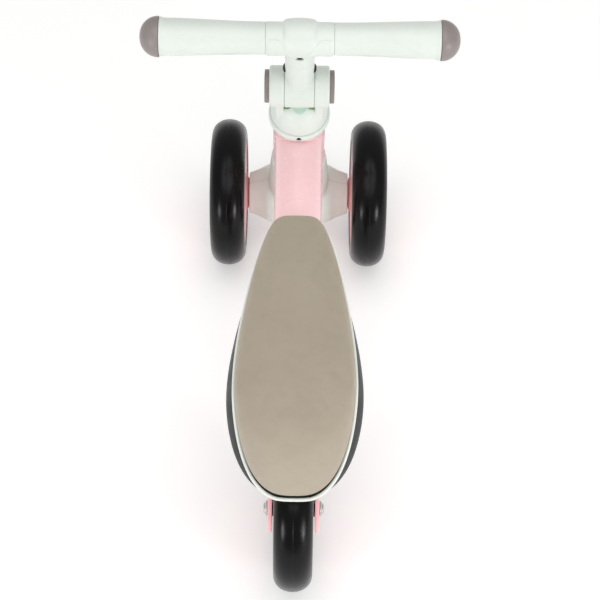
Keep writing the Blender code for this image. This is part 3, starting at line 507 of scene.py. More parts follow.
camera = {"lens": 102, "height": 1.5252, "back": -0.9987, "side": 0.0034, "down": 54, "roll": 0.8}
lamps = {"left": 5.5, "right": 7.5, "size": 0.46, "distance": 1.75, "around": 44, "above": 12,
         "top": 21.0, "world": 0.5, "floor": 0.26}


def makeCamera():
    data = bpy.data.cameras.new("camera")
    data.lens = camera["lens"]
    data.sensor_width = 36
    obj = newObject("camera", data)
    tilt = Matrix.Rotation(math.radians(90 - camera["down"]), 4, "X")
    roll = Matrix.Rotation(math.radians(camera["roll"]), 4, "Z")
    obj.matrix_world = Matrix.Translation((camera["side"], camera["back"], camera["height"])) @ tilt @ roll
    bpy.context.scene.camera = obj


def areaLamp(name, around, above, distance, size, strength, target):
    # a square lamp at a bearing from behind the bike and a height above the floor, aimed at the target
    a, e = math.radians(around), math.radians(above)
    away = Vector((math.sin(a) * math.cos(e), -math.cos(a) * math.cos(e), math.sin(e)))
    data = bpy.data.lights.new(name, "AREA")
    data.shape = "DISK"
    data.size = size
    data.energy = strength
    obj = newObject(name, data)
    obj.location = Vector(target) + away * distance
    obj.rotation_euler = away.to_track_quat("Z", "Y").to_euler()


def makeLights():
    target = (0, 0, 0.12)
    for label, side in sides:
        areaLamp(label + "Lamp", side * lamps["around"], lamps["above"], lamps["distance"], lamps["size"],
                 lamps[label], target)
    areaLamp("topLamp", 8, 80, 2.2, 2.4, lamps["top"], target)
    world = bpy.data.worlds.new("studio")
    world.use_nodes = True
    world.node_tree.nodes["Background"].inputs[0].default_value = (1, 1, 0.99, 1)
    world.node_tree.nodes["Background"].inputs[1].default_value = lamps["world"]
    bpy.context.scene.world = world
    bpy.context.scene.view_settings.view_transform = "Standard"


def makeFloor():
    # a level sheet 12 m across, pale, with a very faint mottling
    reach = np.linspace(-6, 6, 5)
    x, y = np.meshgrid(reach, reach, indexing="ij")
    points = np.stack([x, y, 0 * x - 0.0004], -1).reshape(-1, 3)
    material = bpy.data.materials.new("paleFloor")
    material.use_nodes = True
    tree = material.node_tree
    shader = tree.nodes["Principled BSDF"]
    place = node(tree, "TexCoord").outputs["Object"]
    tone = groupNode(tree, "tone", {"Vector": place, "Colour": (0.94, 0.94, 0.935, 1),
                                    "Deep": (0.93, 0.93, 0.925, 1), "Size": 2.0, "Amount": 0.5})
    tree.links.new(tone.outputs["Colour"], shader.inputs["Base Color"])
    shader.inputs["Roughness"].default_value = 0.9
    shader.inputs["Specular IOR Level"].default_value = 0.0
    shader.inputs["Emission Color"].default_value = (1, 1, 1, 1)
    shader.inputs["Emission Strength"].default_value = lamps["floor"]
    floor = newPiece("floor", points, gridFaces(5, 5, False), material, smooth=False)


makeCamera()
makeLights()
makeFloor()
print("camera, lights and floor set")

wheelSizes = {
    "tyreHalf": 18.65, "shoulder": 64.0, "fullness": 2.1, "bead": 58.0,
    "rim": 57.7, "rimHalf": 17.6, "hub": 15.5, "windows": 6, "windowDepth": 1.3, "steps": 160,
}


def tyreProfile():
    # crown: r = shoulder + (R - shoulder) sin(t)^(2/n), h = half cos(t)^(2/n), then the walls
    w = wheelSizes
    outer = (boxOf("tyre_rear")[1][2] - boxOf("tyre_rear")[0][2]) / 2 / mm
    t = np.linspace(0, np.pi, 61)
    power = 2 / w["fullness"]
    r = w["shoulder"] + (outer - w["shoulder"]) * np.sin(t) ** power
    h = w["tyreHalf"] * np.sign(np.cos(t)) * np.abs(np.cos(t)) ** power
    bead, half = w["bead"], w["tyreHalf"]
    wall = [(bead + 0.4, half - 1.6), (bead + 1.6, half - 0.7), (bead + 3, half - 0.25)]
    low = [(a, -b) for a, b in wall[::-1]]
    seat = [(bead, -half + 2.4), (bead, half - 2.4)]
    return np.concatenate([wall, np.stack([r, h], 1), low, seat])


def seamRipple(r, h, angle):
    # a fine ridge round the crown where the mould closed, a little uneven along its length
    ridge = np.exp(-((h / 0.42) ** 2)) * (r > 70)
    return r - 0.16 * (1 - ridge) * (r > 70) + 0.05 * ridge * np.sin(37 * angle + 2 * np.sin(5 * angle)), h


def windowRelief(centre, reach):
    # rounded windows: the face sinks by depth * (inside a sector and between two radii), with soft sides
    w = wheelSizes

    def relief(r, h, angle):
        turn = np.abs((angle * w["windows"] / (2 * np.pi)) % 1 - 0.5) * 2
        side = (1 - turn) * np.pi / w["windows"] * r
        inside = smoothStep(side, 3.2, 5.4) * smoothStep(r, centre - reach, centre - reach + 3)
        inside = inside * (1 - smoothStep(r, centre + reach - 3, centre + reach))
        return r, h - w["windowDepth"] * inside * (h > 10)

    return relief


def rimProfile(hubFace, hubEnd):
    # ring profile from the open side's lip, round the outside, to the hub boss and back inside
    w = wheelSizes
    face, rim, hub = w["rimHalf"], w["rim"], w["hub"]
    corners = [
        (rim - 1.2, face), (rim, face - 0.8), (rim, -face + 0.8), (rim - 1.0, -face),
        (rim - 2.4, -face), (rim - 3.6, -face + 1.1), (hub + 10, -face - 0.2), (hub + 5.2, -face - 0.7),
        (hub + 1.2, -hubFace + 0.4), (hub, -hubFace), (11.3, -hubFace), (11.3, hubEnd), (hub, hubEnd),
        (hub + 1, -12.6), (rim - 4.6, -11.6), (rim - 4.1, face - 0.4), (rim - 3.4, face),
    ]
    return easedLine(corners, 0.7, 4, closed=True)


def capProfile(bore):
    # a gently domed disc with a raised boss in the middle, and its flat underside
    face = wheelSizes["rimHalf"]
    edge = 53.2
    outer = [(edge, face - 3.4), (edge, face - 0.9), (edge - 1.2, face - 0.2)]
    outer += [(edge - 3, face - 0.1), (edge - 4, face - 0.7)]
    reach = np.linspace(edge - 5, max(bore + 6, 20), 26)
    disc = [(r, face - 0.7 + 0.9 * (1 - (r / edge) ** 2)) for r in reach]
    if bore:
        inner = [(bore + 4.6, face), (bore + 3.8, face - 0.1), (bore + 0.8, face - 0.1)]
        inner += [(bore, face - 0.8), (bore, face - 3.4)]
        return np.array(outer + disc + inner), True
    boss = [(18.4, face - 0.5), (17.6, face + 0.25), (15.6, face + 0.55), (8, face + 0.6), (0, face + 0.6)]
    return np.array([(0, face - 3.4)] + outer + disc + boss), False


def makeWheel(side, body, outward, hubFace, hubEnd, bore):
    centre = middleOf("tyre_" + side)
    place = placeWith(centre, outward, (0, 0, 1))
    steps = wheelSizes["steps"]
    rubber = newMaterial("rubber_" + side, finishes["tyreRubber"])
    tyre = turnedPiece("tyre_skin_" + side, tyreProfile(), place, rubber, 192, True, seamRipple)
    addLine(rubber, "X", float(centre[0]), 0.5, 6.0)
    finishPiece(tyre, body, "tyre", "tyre_" + side)
    pink = looks["pinkPlastic"]
    rim = turnedPiece("rim_disc_" + side, rimProfile(hubFace, hubEnd), place, pink, steps, True)
    finishPiece(rim, body, "pink_plastic", "rim_" + side)
    profile, ring = capProfile(bore)
    relief = windowRelief(34.5, 13.5)
    cap = turnedPiece("wheel_cover_" + side, profile, place, pink, steps, ring, relief)
    finishPiece(cap, body, "pink_plastic", "wheel_cap_" + side)


makeWheel("left", "wheel_left", (-1, 0, 0), 21.6, 6.0, 0)
makeWheel("right", "wheel_right", (1, 0, 0), 21.6, 6.0, 0)
makeWheel("rear", "wheel_rear", (1, 0, 0), 18.6, 18.6, 16)
print("wheels made")

axleSizes = {"nutRadius": 7.5, "nutHeight": 4.6, "spacerRadius": 8.0, "spacerBore": 4.3}


def makeRearFittings():
    rearAxle = middleOf("rear_axle")
    for label, side in sides:
        place = placeWith(rearAxle, (side, 0, 0), (0, 0, 1))
        low, high = boxOf("rear_dome_nut_" + label)
        base = min(abs(low[0]), abs(high[0])) / mm
        r, height = axleSizes["nutRadius"], axleSizes["nutHeight"]
        corners = [(0, base), (r - 0.5, base), (r, base + 0.5), (r, base + 1.3), (r - 1.1, base + 2.0)]
        corners += [(r - 1.8, base + 2.2), (r - 2.4, base + 3.4), (r - 4.2, base + height - 0.3)]
        corners.append((0, base + height))
        nut = turnedPiece("dome_nut_" + label, easedLine(corners, 0.8, 4), place, looks["zinc"], 64)
        finishPiece(nut, "frame", "zinc", "rear_dome_nut_" + label)
        low, high = boxOf("rear_spacer_" + label)
        start, end = sorted(abs(np.array([low[0], high[0]])) / mm)
        r, bore = axleSizes["spacerRadius"], axleSizes["spacerBore"]
        ring = easedLine([(r, end), (r, start), (bore, start), (bore, end)], 0.3, 4, closed=True)
        spacer = turnedPiece("wheel_spacer_" + label, ring, place, looks["blackPlastic"], 64, True)
        finishPiece(spacer, "frame", "black_plastic", "rear_spacer_" + label)


makeRearFittings()

# column and arm are lists of (radius, place along the axis)
forkSizes = {
    "column": [(0, 85.5), (28.5, 85.5), (28.9, 80), (29.5, 75), (31, 55), (32, 30), (32.3, 0), (31.6, -5), (0, -5)],
    "arm": [(22.3, 53.6), (22.5, 52.2), (23.6, 48.6), (26.5, 41.5), (30.5, 34.5), (33, 26.5), (33.6, 14)],
    "voxel": 0.85, "rounds": 7, "half": 0.15, "screwAcross": 22.0, "screwUp": 52.0, "screwFace": 21.8,
}


def forkForm():
    # the column and the arms are two turned shapes, joined, with the screw recesses cut from the front
    f = forkSizes
    body = turnedPiece("forkForm", easedLine(f["column"], 1.6, 5), steer)
    half, end = f["arm"], f["arm"][0][1]
    arm = [(0, end)] + half + [(r, -x) for r, x in half[::-1]] + [(0, -end)]
    arms = turnedPiece("forkArms", easedLine(arm, 1.2, 5), facing(steer, (1, 0, 0)))
    combined("forkForm", body, [arms], "UNION")
    recesses = []
    for side in (-1, 1):
        place = facing(shifted(steer, side * f["screwAcross"], f["screwFace"] - 3.2, f["screwUp"]), (0, 1, 0))
        recesses.append(turnedPiece("recess", [(0, 0), (3.7, 0), (3.7, 20), (0, 20)], place, None, 40))
    return combined("forkForm", body, recesses, "DIFFERENCE")


def makeForkShells():
    form = moulded(forkForm(), forkSizes["voxel"], forkSizes["rounds"], looks["mintPlastic"])
    ahead = Vector(steer[:3, 1])
    for label, side in (("front", 1), ("rear", -1)):
        mesh = form.data.copy()
        work = bmesh.new()
        work.from_mesh(mesh)
        cut = Vector(steer[:3, 3]) + ahead * side * forkSizes["half"] * mm
        everything = work.verts[:] + work.edges[:] + work.faces[:]
        bmesh.ops.bisect_plane(work, geom=everything, plane_co=cut, plane_no=ahead * -side, clear_outer=True)
        bmesh.ops.holes_fill(work, edges=[e for e in work.edges if e.is_boundary])
        work.to_mesh(mesh)
        work.free()
        mesh.set_sharp_from_angle(angle=math.radians(50))
        finishPiece(newObject("fork_half_" + label, mesh), "fork", "mint_plastic", "fork_shell_" + label)
    bpy.data.objects.remove(form, do_unlink=True)


def crossScrew(name, place, radius, height, body, *replaced):
    # a pan head: z = height (1 - (r/R)^4), sunk by a soft cross where |x| or |y| is small
    reach = np.linspace(0, 1, 26)[:, None]
    turn = np.linspace(0, 2 * np.pi, 96, endpoint=False)[None, :]
    x, y = reach * np.cos(turn) * radius, reach * np.sin(turn) * radius
    arm = 0.13 * radius
    bar = np.maximum(1 - smoothStep(np.abs(x), arm, 2 * arm), 1 - smoothStep(np.abs(y), arm, 2 * arm))
    inside = bar * (1 - smoothStep(reach * radius, 0.52 * radius, 0.68 * radius))
    z = height * (1 - reach**4) - 0.9 * inside + 0 * turn
    top = np.stack([x, y, z], -1)
    under = np.stack([x[-1:], y[-1:], 0 * x[-1:] - 1.6], -1)
    pole = np.zeros_like(under) + np.array([0, 0, -1.6])
    local = np.concatenate([top, under, pole]).reshape(-1, 3)
    screw = newPiece(name, laidOn(local, place), gridFaces(28, 96, True), looks["blackSteel"])
    screw.data.set_sharp_from_angle(angle=math.radians(60))
    return finishPiece(screw, body, "black_steel", *replaced)


def makeForkScrews():
    f = forkSizes
    for label, side in sides:
        place = facing(shifted(steer, side * f["screwAcross"], f["screwFace"] - 2.6, f["screwUp"]), (0, 1, 0))
        crossScrew("fork_screw_head_" + label, place, 3.2, 1.1, "fork", "fork_screw_" + label)


makeForkShells()
makeForkScrews()
print("fork made")

frameSizes = {"headRadius": 26.5, "headLow": 86.3, "headTop": 169.0, "headBore": 24, "lip": 0.8,
              "tubeFront": 24.6, "tubeRear": 22.6, "tubeSlope": 7.99, "tubeReach": 262.55, "wall": 2.2, "bead": 1.5, "plateEase": 1.3}


def makeHead():
    f = frameSizes
    low, top, bore = f["headLow"], f["headTop"], f["headBore"]
    r, lip = f["headRadius"], f["headRadius"] + f["lip"]
    corners = [(r - 1, top), (r, top - 1), (r, low + 6), (lip, low + 4.6), (lip, low + 0.8)]
    corners += [(lip - 0.8, low), (bore, low), (bore, top)]
    line = easedLine(corners, 0.7, 5, closed=True)
    head = turnedPiece("head_sleeve", line, steer, looks["pinkPaint"], ring=True)
    finishPiece(head, "frame", "pink_paint", "head_tube")


def tubeLine():
    # start, direction and length of the main tube; its rear end's middle lies
    # r sin(slope) and r cos(slope) from its box's lower rear edge
    f = frameSizes
    low = boxOf("main_tube")[0]
    slope = math.radians(f["tubeSlope"])
    along = np.array([0, -math.cos(slope), -math.sin(slope)])
    inward = np.array([0, math.sin(slope), math.cos(slope)])
    rear = np.array([0, low[1], low[2]]) + f["tubeRear"] * mm * inward
    return rear - along * f["tubeReach"] * mm, along, f["tubeReach"] * mm


def makeMainTube():
    # points p(a, t) = start + d t + r(t)(cos a across + sin a up), from the head tube's surface on
    f = frameSizes
    start, along, length = tubeLine()
    across = np.array([1.0, 0, 0])
    up = np.cross(across, along)
    if up[2] < 0:
        up = -up
    angle = np.linspace(0, 2 * np.pi, 160, endpoint=False)
    axis, origin = steer[:3, 2], steer[:3, 3]
    spoke = np.cos(angle)[:, None] * across + np.sin(angle)[:, None] * up
    ray = spoke * f["tubeFront"] * mm + start - origin
    flat = ray - (ray @ axis)[:, None] * axis
    step = along - (along @ axis) * axis
    a, b = step @ step, flat @ step
    c = (flat * flat).sum(1) - ((f["headRadius"] + 0.15) * mm) ** 2
    first = (-b + np.sqrt(np.maximum(b * b - a * c, 0))) / a
    share = np.linspace(0, 1, 60)[:, None]
    t = first[None, :] + (length - first[None, :]) * share
    radius = (f["tubeFront"] + (f["tubeRear"] - f["tubeFront"]) * t / length) * mm
    ring = radius[..., None] * spoke
    outer = start + along * t[..., None] + ring
    inner = (start + along * t[..., None] + ring * (1 - f["wall"] * mm / radius[..., None]))[::-1]
    points = np.concatenate([outer, inner, outer[:1]])
    tube = newPiece("main_beam", points.reshape(-1, 3), gridFaces(len(points), 160, True), looks["pinkPaint"])
    tube.data.set_sharp_from_angle(angle=math.radians(60))
    finishPiece(tube, "frame", "pink_paint", "main_tube")
    joint = outer[0]
    bead = f["bead"] + 0.12 * np.sin(angle * 58) + 0.08 * np.sin(angle * 17 + 1)
    weld = tubeAlong("head_weld", joint, bead, looks["pinkPaint"], 14)
    finishPiece(weld, "frame", "pink_paint")
    rim = outer[-1] + along * 1.4 * mm
    bead = 1.9 + 0.14 * np.sin(angle * 56) + 0.1 * np.sin(angle * 13)
    weld = tubeAlong("bridge_weld", rim, bead, looks["pinkPaint"], 14)
    finishPiece(weld, "frame", "pink_paint")


def platePiece(name, outline, thickness, centreX, material):
    # rings of the outline drawn to its middle: r = 1 - e(1 - cos v), x = t/2 sin v, so that the edge is rounded
    outline = np.array(outline)
    middle = outline.mean(0)
    size = np.linalg.norm(outline - middle, axis=1).mean()
    v = np.linspace(-np.pi / 2, np.pi / 2, 13)
    ease = frameSizes["plateEase"] / size
    scale = np.concatenate([[0], 1 - ease * (1 - np.cos(v)), [0]])
    lift = np.concatenate([[-0.5], np.sign(v) * np.abs(np.sin(v)) ** 0.7 / 2, [0.5]]) * thickness
    flat = middle + (outline - middle)[None] * scale[:, None, None]
    x = centreX + lift[:, None] + 0 * flat[..., 0]
    local = np.stack([x, flat[..., 0], flat[..., 1]], -1).reshape(-1, 3) * mm
    piece = newPiece(name, local, gridFaces(len(scale), len(outline), True), material)
    piece.data.set_sharp_from_angle(angle=math.radians(40))
    return piece


def makeDropouts():
    # the plate's edge: an arc round the axle, then straight lines up to the bridge, with eased corners
    hub = middleOf("rear_axle")[1:] / mm
    low, high = boxOf("yoke_bridge")
    frontY, rearY, lowZ, topZ = high[1] / mm, low[1] / mm, low[2] / mm, high[2] / mm
    arc = np.radians(np.linspace(140, 322, 70))
    corners = [(frontY - 30, lowZ - 34), (frontY, lowZ), (frontY, topZ), (rearY, topZ + 1)]
    corner = easedLine(corners + [(rearY - 40, topZ - 42)], 5, 8)
    outline = np.concatenate([hub + 23 * np.stack([np.cos(arc), np.sin(arc)], 1), corner[1:-1]])
    for label in ("left", "right"):
        low, high = boxOf("dropout_" + label)
        middle = (low[0] + high[0]) / 2 / mm
        plate = platePiece("stay_" + label, outline, (high[0] - low[0]) / mm, middle, looks["pinkPaint"])
        finishPiece(plate, "frame", "pink_paint", "dropout_" + label)


makeHead()
makeMainTube()
makeDropouts()
print("frame made")

hingeSizes = {"voxel": 0.55, "rounds": 2, "barrel": 20.5, "barrelHalf": 14.6, "earIn": 14.8, "earOut": 29.5,
              "pocket": 16.65, "pocketFloor": 20.5, "button": 16.35, "buttonFace": 34.2,
              "scoop": 12.6, "scoopUp": 216.4, "scoopFloor": -12.0, "pawl": (5.1, 4.0, 6.4),
              "pawlSlot": (5.7, 4.7, 9)}


def barCylinder(name, radius, start, end, place, steps=128, ease=0.0):
    # a rod along local X of the place, from start to end mm
    corners = [(0, end), (radius, end), (radius, start), (0, start)]
    line = easedLine(corners, ease, 5) if ease else corners
    return turnedPiece(name, line, facing(place, (1, 0, 0)), steps=steps)


def makeCollar():
    corners = [(14.9, 176), (29.2, 176), (30.4, 175.4), (31, 174.2), (31, 170.6), (30.2, 169.5), (14.9, 169.5)]
    ring = turnedPiece("collar_ring", easedLine(corners, 0.9, 6, closed=True), steer, None, 192, True)
    place = facing(shifted(steer, 0, -28.4, 172.75), (0, -1, 0))
    recess = turnedPiece("recess", [(0, 0), (2.7, 0), (2.7, 9), (0, 9)], place, None, 40)
    combined("collar_ring", ring, [recess], "DIFFERENCE")
    moulded(ring, 0.5, 3, looks["mintPlastic"])
    finishPiece(ring, "fork", "mint_plastic", "headset_collar")
    crossScrew("collar_screw_head", shifted(place, z=0.7), 2.5, 0.9, "fork", "collar_screw")


def makeHingeBase():
    # dome, then an ear and its neck on each side; the barrel's slot, the scoop and the pockets are cut out
    h = hingeSizes
    dome = [(0, 176.4), (28.5, 176.4), (28.5, 184), (27, 193), (23.5, 200.5), (18.5, 205), (12, 207.4), (0, 208)]
    base = turnedPiece("hinge_cover", easedLine(dome, [0, 0.8, 3, 4, 3, 3, 3, 0], 7), steer, None, 160)
    pivot = onSteer(foldHeight)
    for side in (-1, 1):
        ends = sorted((side * (h["earIn"] - 0.7), side * h["earOut"]))
        ear = barCylinder("ear", h["barrel"], ends[0], ends[1], pivot, 160, 2.6)
        size = (h["earOut"] - h["earIn"] - 1.4, 34, 42)
        neck = softBox("neck", size, shifted(steer, side * 22.1, 0, 202), None, 0.14, 40)
        rounder = turnedPiece("rounder", [(0, 150), (28.3, 150), (28.3, 240), (0, 240)], steer, None, 160)
        combined("neck", neck, [rounder], "INTERSECT")
        combined("hinge_cover", base, [ear, neck], "UNION")
    scoopPlace = facing(shifted(steer, 0, h["scoopFloor"], h["scoopUp"]), (0, -1, 0))
    cuts = [
        barCylinder("slot", h["barrel"] + 0.6, -h["earIn"], h["earIn"], pivot),
        turnedPiece("scoop", [(0, 0), (h["scoop"], 0), (h["scoop"], 24), (0, 24)], scoopPlace, None, 96),
    ]
    for side in (-1, 1):
        ends = sorted((side * h["pocketFloor"], side * 45))
        cuts.append(barCylinder("pocket", h["pocket"], ends[0], ends[1], pivot))
        slotPlace = shifted(steer, side * 11.75, -11.1, 202)
        cuts.append(softBox("pawlSlot", h["pawlSlot"], slotPlace, None, 0.1, 24))
    combined("hinge_cover", base, cuts, "DIFFERENCE")
    moulded(base, h["voxel"], h["rounds"], looks["mintPlastic"])
    # the scoop's faces take the darker, greener mint: painted shade inside the recess
    base.data.materials.append(looks["scoopShadeMint"])
    centres = np.empty(len(base.data.polygons) * 3)
    base.data.polygons.foreach_get("center", centres)
    local = localPoints(centres.reshape(-1, 3), steer)
    inRound = np.hypot(local[:, 0], local[:, 2] - h["scoopUp"]) < h["scoop"] + 0.35
    shadedScoopFaces = inRound & (local[:, 1] < h["scoopFloor"] + 0.4)
    base.data.polygons.foreach_set("material_index", shadedScoopFaces.astype(int))
    finishPiece(base, "fork", "mint_plastic", "hinge_base")


def makeButtons():
    # a dished disc with a rolled edge: h = face - dish (1 - (r/R)^2)
    h = hingeSizes
    face, radius = h["buttonFace"], h["button"]
    r = np.linspace(0, radius - 2.6, 18)
    dish = np.stack([r, face - 0.45 - 0.35 * (1 - (r / radius) ** 2)], 1)
    skirt, under = 24.7, 30.2
    corners = [(radius - 2.4, face - 0.4), (radius - 1.6, face), (radius, face), (radius, skirt)]
    edge = easedLine(corners + [(radius - 3, skirt), (radius - 3, under)], 1.4, 7)
    profile = np.concatenate([dish, edge, [(0, under)]])
    for label, side in sides:
        place = facing(onSteer(foldHeight), (side, 0, 0))
        button = turnedPiece("push_button_" + label, profile, place, looks["greyPlastic"], 128)
        finishPiece(button, "button_" + label, "grey_plastic", "button_" + label)
        middle = middleOf("lock_pawl_" + label)
        place = placeWith(middle, steer[:3, 2], (1, 0, 0))
        pawl = softBox("lock_strip_" + label, h["pawl"], place, looks["greenPlastic"], 0.16)
        finishPiece(pawl, "pawl_" + label, "green_plastic", "lock_pawl_" + label)


makeCollar()
makeHingeBase()
makeButtons()
print("hinge made")

stemSizes = {"tube": 14.2, "top": 279.7, "voxel": 0.5, "rounds": 2, "rivet": 259.0}


def makeStem():
    # barrel along X and tube up the axis, joined, with the core's bore left open at the top
    h, s = hingeSizes, stemSizes
    pivot = onSteer(foldHeight)
    barrel = barCylinder("stem_body", h["barrel"], -h["barrelHalf"], h["barrelHalf"], pivot, 160, 1.0)
    rise = s["top"] - foldHeight
    corners = [(0, 0), (s["tube"], 0), (s["tube"], rise - 0.4), (s["tube"] - 0.4, rise), (0, rise)]
    tube = turnedPiece("tube", easedLine(corners, 0.3, 4), pivot)
    combined("stem_body", barrel, [tube], "UNION")
    bore = turnedPiece("bore", [(0, 30), (12.3, 30), (12.3, 90), (0, 90)], pivot, None, 96)
    combined("stem_body", barrel, [bore], "DIFFERENCE")
    moulded(barrel, s["voxel"], s["rounds"], looks["mintPlastic"])
    finishPiece(barrel, "handlebar", "mint_plastic", "stem")
    half = [(0, 16.4), (2.4, 16.1), (3.9, 15.3), (4.5, 14.6), (4.5, 14.0), (2, 13.6)]
    rivet = half + [(r, -x) for r, x in half[::-1]]
    place = facing(onSteer(s["rivet"]), (1, 0, 0))
    pin = turnedPiece("stem_rivet_pin", easedLine(rivet, 0.8, 5), place, looks["blackSteel"], 64)
    finishPiece(pin, "handlebar", "black_steel", "stem_rivet")


makeStem()
print("stem made")

clampSizes = {"sleeve": 15.6, "half": 32.0, "neck": 14.5, "low": 280.0, "hump": 18.3, "humpHalf": 15.5,
              "wing": 0.8, "voxel": 0.55, "rounds": 4, "screw": 299.4}


def wingMask(x, angle):
    # 1 on the saddle pads of the rear side: their upper edge dips from the sleeve's ends to the neck
    away = np.abs(x)
    top = 12 - 62 * (1 - smoothStep(away, 5, 22))
    across = 1 - smoothStep(away, 29.6, 30.6)
    return smoothStep(top - angle, -1.0, 1.4) * across


def makeClamp():
    c = clampSizes
    centre = onSteer(barHeight)
    body = barCylinder("bar_saddle", c["sleeve"], -c["half"], c["half"], centre, 160, 0.6)
    neckPlace = onSteer(c["low"])
    r = c["neck"]
    neck = turnedPiece("neck", easedLine([(0, 0), (r - 0.4, 0), (r, 0.5), (r, 28), (0, 28)], 0.3, 4), neckPlace)
    corners = [(0, 8), (r - 1, 8), (r + 0.4, 16), (r + 3.6, 22), (0, 26)]
    flare = turnedPiece("flare", easedLine(corners, 5, 8), neckPlace)
    humpPlace = facing(shifted(onSteer(barHeight), 0, 0.6, 0.8), (1, 0, 0))
    t = np.linspace(0, np.pi, 41)
    half = c["humpHalf"]
    bump = np.stack([14 + (c["hump"] - 14) * np.sin(t) ** 0.6, half * np.cos(t)], 1)
    hump = turnedPiece("hump", np.concatenate([[(0, half)], bump, [(0, -half)]]), humpPlace)
    combined("bar_saddle", body, [neck, flare, hump], "UNION")
    place = facing(shifted(steer, 0, -12.2, c["screw"]), (0, -1, 0))
    recess = turnedPiece("recess", [(0, 0), (3.9, 0), (3.9, 14), (0, 14)], place, None, 48)
    combined("bar_saddle", body, [recess], "DIFFERENCE")
    moulded(body, c["voxel"], c["rounds"], looks["mintPlastic"])
    points = pointsOf(body)
    local = localPoints(points, centre)
    out = np.hypot(local[:, 1], local[:, 2])
    fromView = np.degrees(np.arctan2(local[:, 2], -local[:, 1]))
    lift = c["wing"] * wingMask(local[:, 0], fromView - 40) * (np.abs(fromView) < 140) * (out < 20)
    direction = np.zeros_like(local)
    direction[:, 1:] = local[:, 1:] / np.maximum(out, 1)[:, None]
    setPoints(body, laidOn(local + direction * lift[:, None] * (local[:, 2] > -17)[:, None], centre))
    finishPiece(body, "handlebar", "mint_plastic", "bar_clamp")
    crossScrew("clamp_screw_head", shifted(place, z=0.9), 3.5, 1.2, "handlebar", "clamp_screw")


makeClamp()
print("clamp made")

gripSizes = {"start": 32.05, "end": 131.4, "leafFrom": 41.0, "leafTo": 114.0, "leafDepth": 0.4}


def gripRelief(side):
    # a finger flat shaped like a leaf on the rear lower side, and a fine ring near the outer end
    g = gripSizes

    def relief(r, h, angle):
        across = (h - (g["leafFrom"] + g["leafTo"]) / 2) / ((g["leafTo"] - g["leafFrom"]) / 2)
        width = 46 * np.clip(1 - across**2, 0, 1)
        turn = np.degrees(angle)
        away = np.abs((turn - leafAngle(side) + 180) % 360 - 180)
        leaf = smoothStep(width - away, 0, 4.5) * (np.abs(across) < 1)
        ring = np.exp(-(((h - 123.5) / 0.5) ** 2))
        solid = r > 13
        return r - (g["leafDepth"] * leaf + 0.16 * ring) * solid, h

    return relief


def leafAngle(side):
    # where the flat's middle lies on the turned shape, in degrees: 62 below the rear-facing view line
    place = facing(onSteer(barHeight), (side, 0, 0))
    down = math.radians(54 - 62)
    direction = np.array([0, -math.cos(down), math.sin(down)])
    return math.degrees(math.atan2(direction @ place[:3, 1], direction @ place[:3, 0]))


def makeGrips():
    g = gripSizes
    h = np.linspace(g["start"] + 0.8, g["end"] - 0.6, 150)
    r = 15.3 + 2.5 * smoothStep(h, 34, 134) + 1.0 * smoothStep(h, 126, 131.4)
    outer = np.stack([r, h], 1)
    inner = [(18.2, g["end"]), (11.4, g["end"]), (11.4, g["start"]), (14.8, g["start"])]
    profile = np.concatenate([outer, inner])
    for label, side in sides:
        place = facing(onSteer(barHeight), (side, 0, 0))
        mint, relief = looks["mintPlastic"], gripRelief(side)
        grip = turnedPiece("hand_grip_" + label, profile, place, mint, 160, True, relief)
        finishPiece(grip, "handlebar", "mint_plastic", "grip_" + label)
        t = np.linspace(0, np.pi / 2, 40)
        dome = np.stack([19.3 * np.sin(t) ** 0.92, 132.2 + 17.8 * np.cos(t)], 1)
        plug = easedLine([(19.3, 132.2), (19.2, 131.7), (9.2, 131.7), (9.2, 117.4), (0, 117.4)], 0.4, 4)
        line = np.concatenate([dome, plug[1:]])
        cap = turnedPiece("bar_end_cap_" + label, line, place, looks["greyPlastic"])
        finishPiece(cap, "handlebar", "grey_plastic", "end_cap_" + label)


makeGrips()
print("handlebar made")

seatSizes = {"half": 55.0, "seam": 235.0, "drop": 54.0, "dropFrom": -163.0, "top": 253.0, "ahead": 2.5,
             "behind": 3.5, "points": 180}


def seatLine(scale=1.0, wider=0.0, shorter=0.0, behind=0.0):
    # pear: y = middle + L cos t, x = half (0.95 - 0.27 cos t) |sin t|^(0.57 - 0.13 cos t)
    # the seam drops at the rear, and the wall swells ahead and behind
    s = seatSizes
    low, high = boxOf("seat_pan")
    nose, rear = high[1] / mm, low[1] / mm
    length, middle = (nose - rear) / 2, (nose + rear) / 2
    t = np.linspace(0, 2 * np.pi, s["points"], endpoint=False) + np.pi / s["points"]
    along, across = np.cos(t), np.sin(t)
    rounded = np.sign(across) * np.abs(across) ** (0.57 - 0.13 * along)
    x = s["half"] * (0.95 - 0.27 * along) * rounded
    bulge = rounded * (1 - ((1 + along) / 2) ** 2)
    seamY = middle + length * along * scale
    share = np.clip((s["dropFrom"] - seamY) / (s["dropFrom"] - rear), 0, 1)
    z = s["seam"] - s["drop"] * share**1.6
    y = length * along * (1 - shorter / length) - behind * np.maximum(0, -along) ** 4
    y = y + behind * s["ahead"] / s["behind"] * np.maximum(0, along) ** 4
    return (x + wider * bulge) * scale, middle + y * scale, z, share**1.6


def seatStack(levels):
    # rings of (scale, lift, rise, wider, shorter, follow), from the first pole to the last
    rings = []
    for scale, lift, rise, wider, shorter, follow in levels:
        behind = seatSizes["behind"] * np.sin(np.pi * rise**0.72)
        x, y, z, share = seatLine(scale, wider, shorter, behind)
        if follow:
            share = seatLine(1.0)[3]
        z = z + (seatSizes["top"] - z) * rise + lift + follow * share
        rings.append(np.stack([x, y, z], -1))
    return np.array(rings) * mm


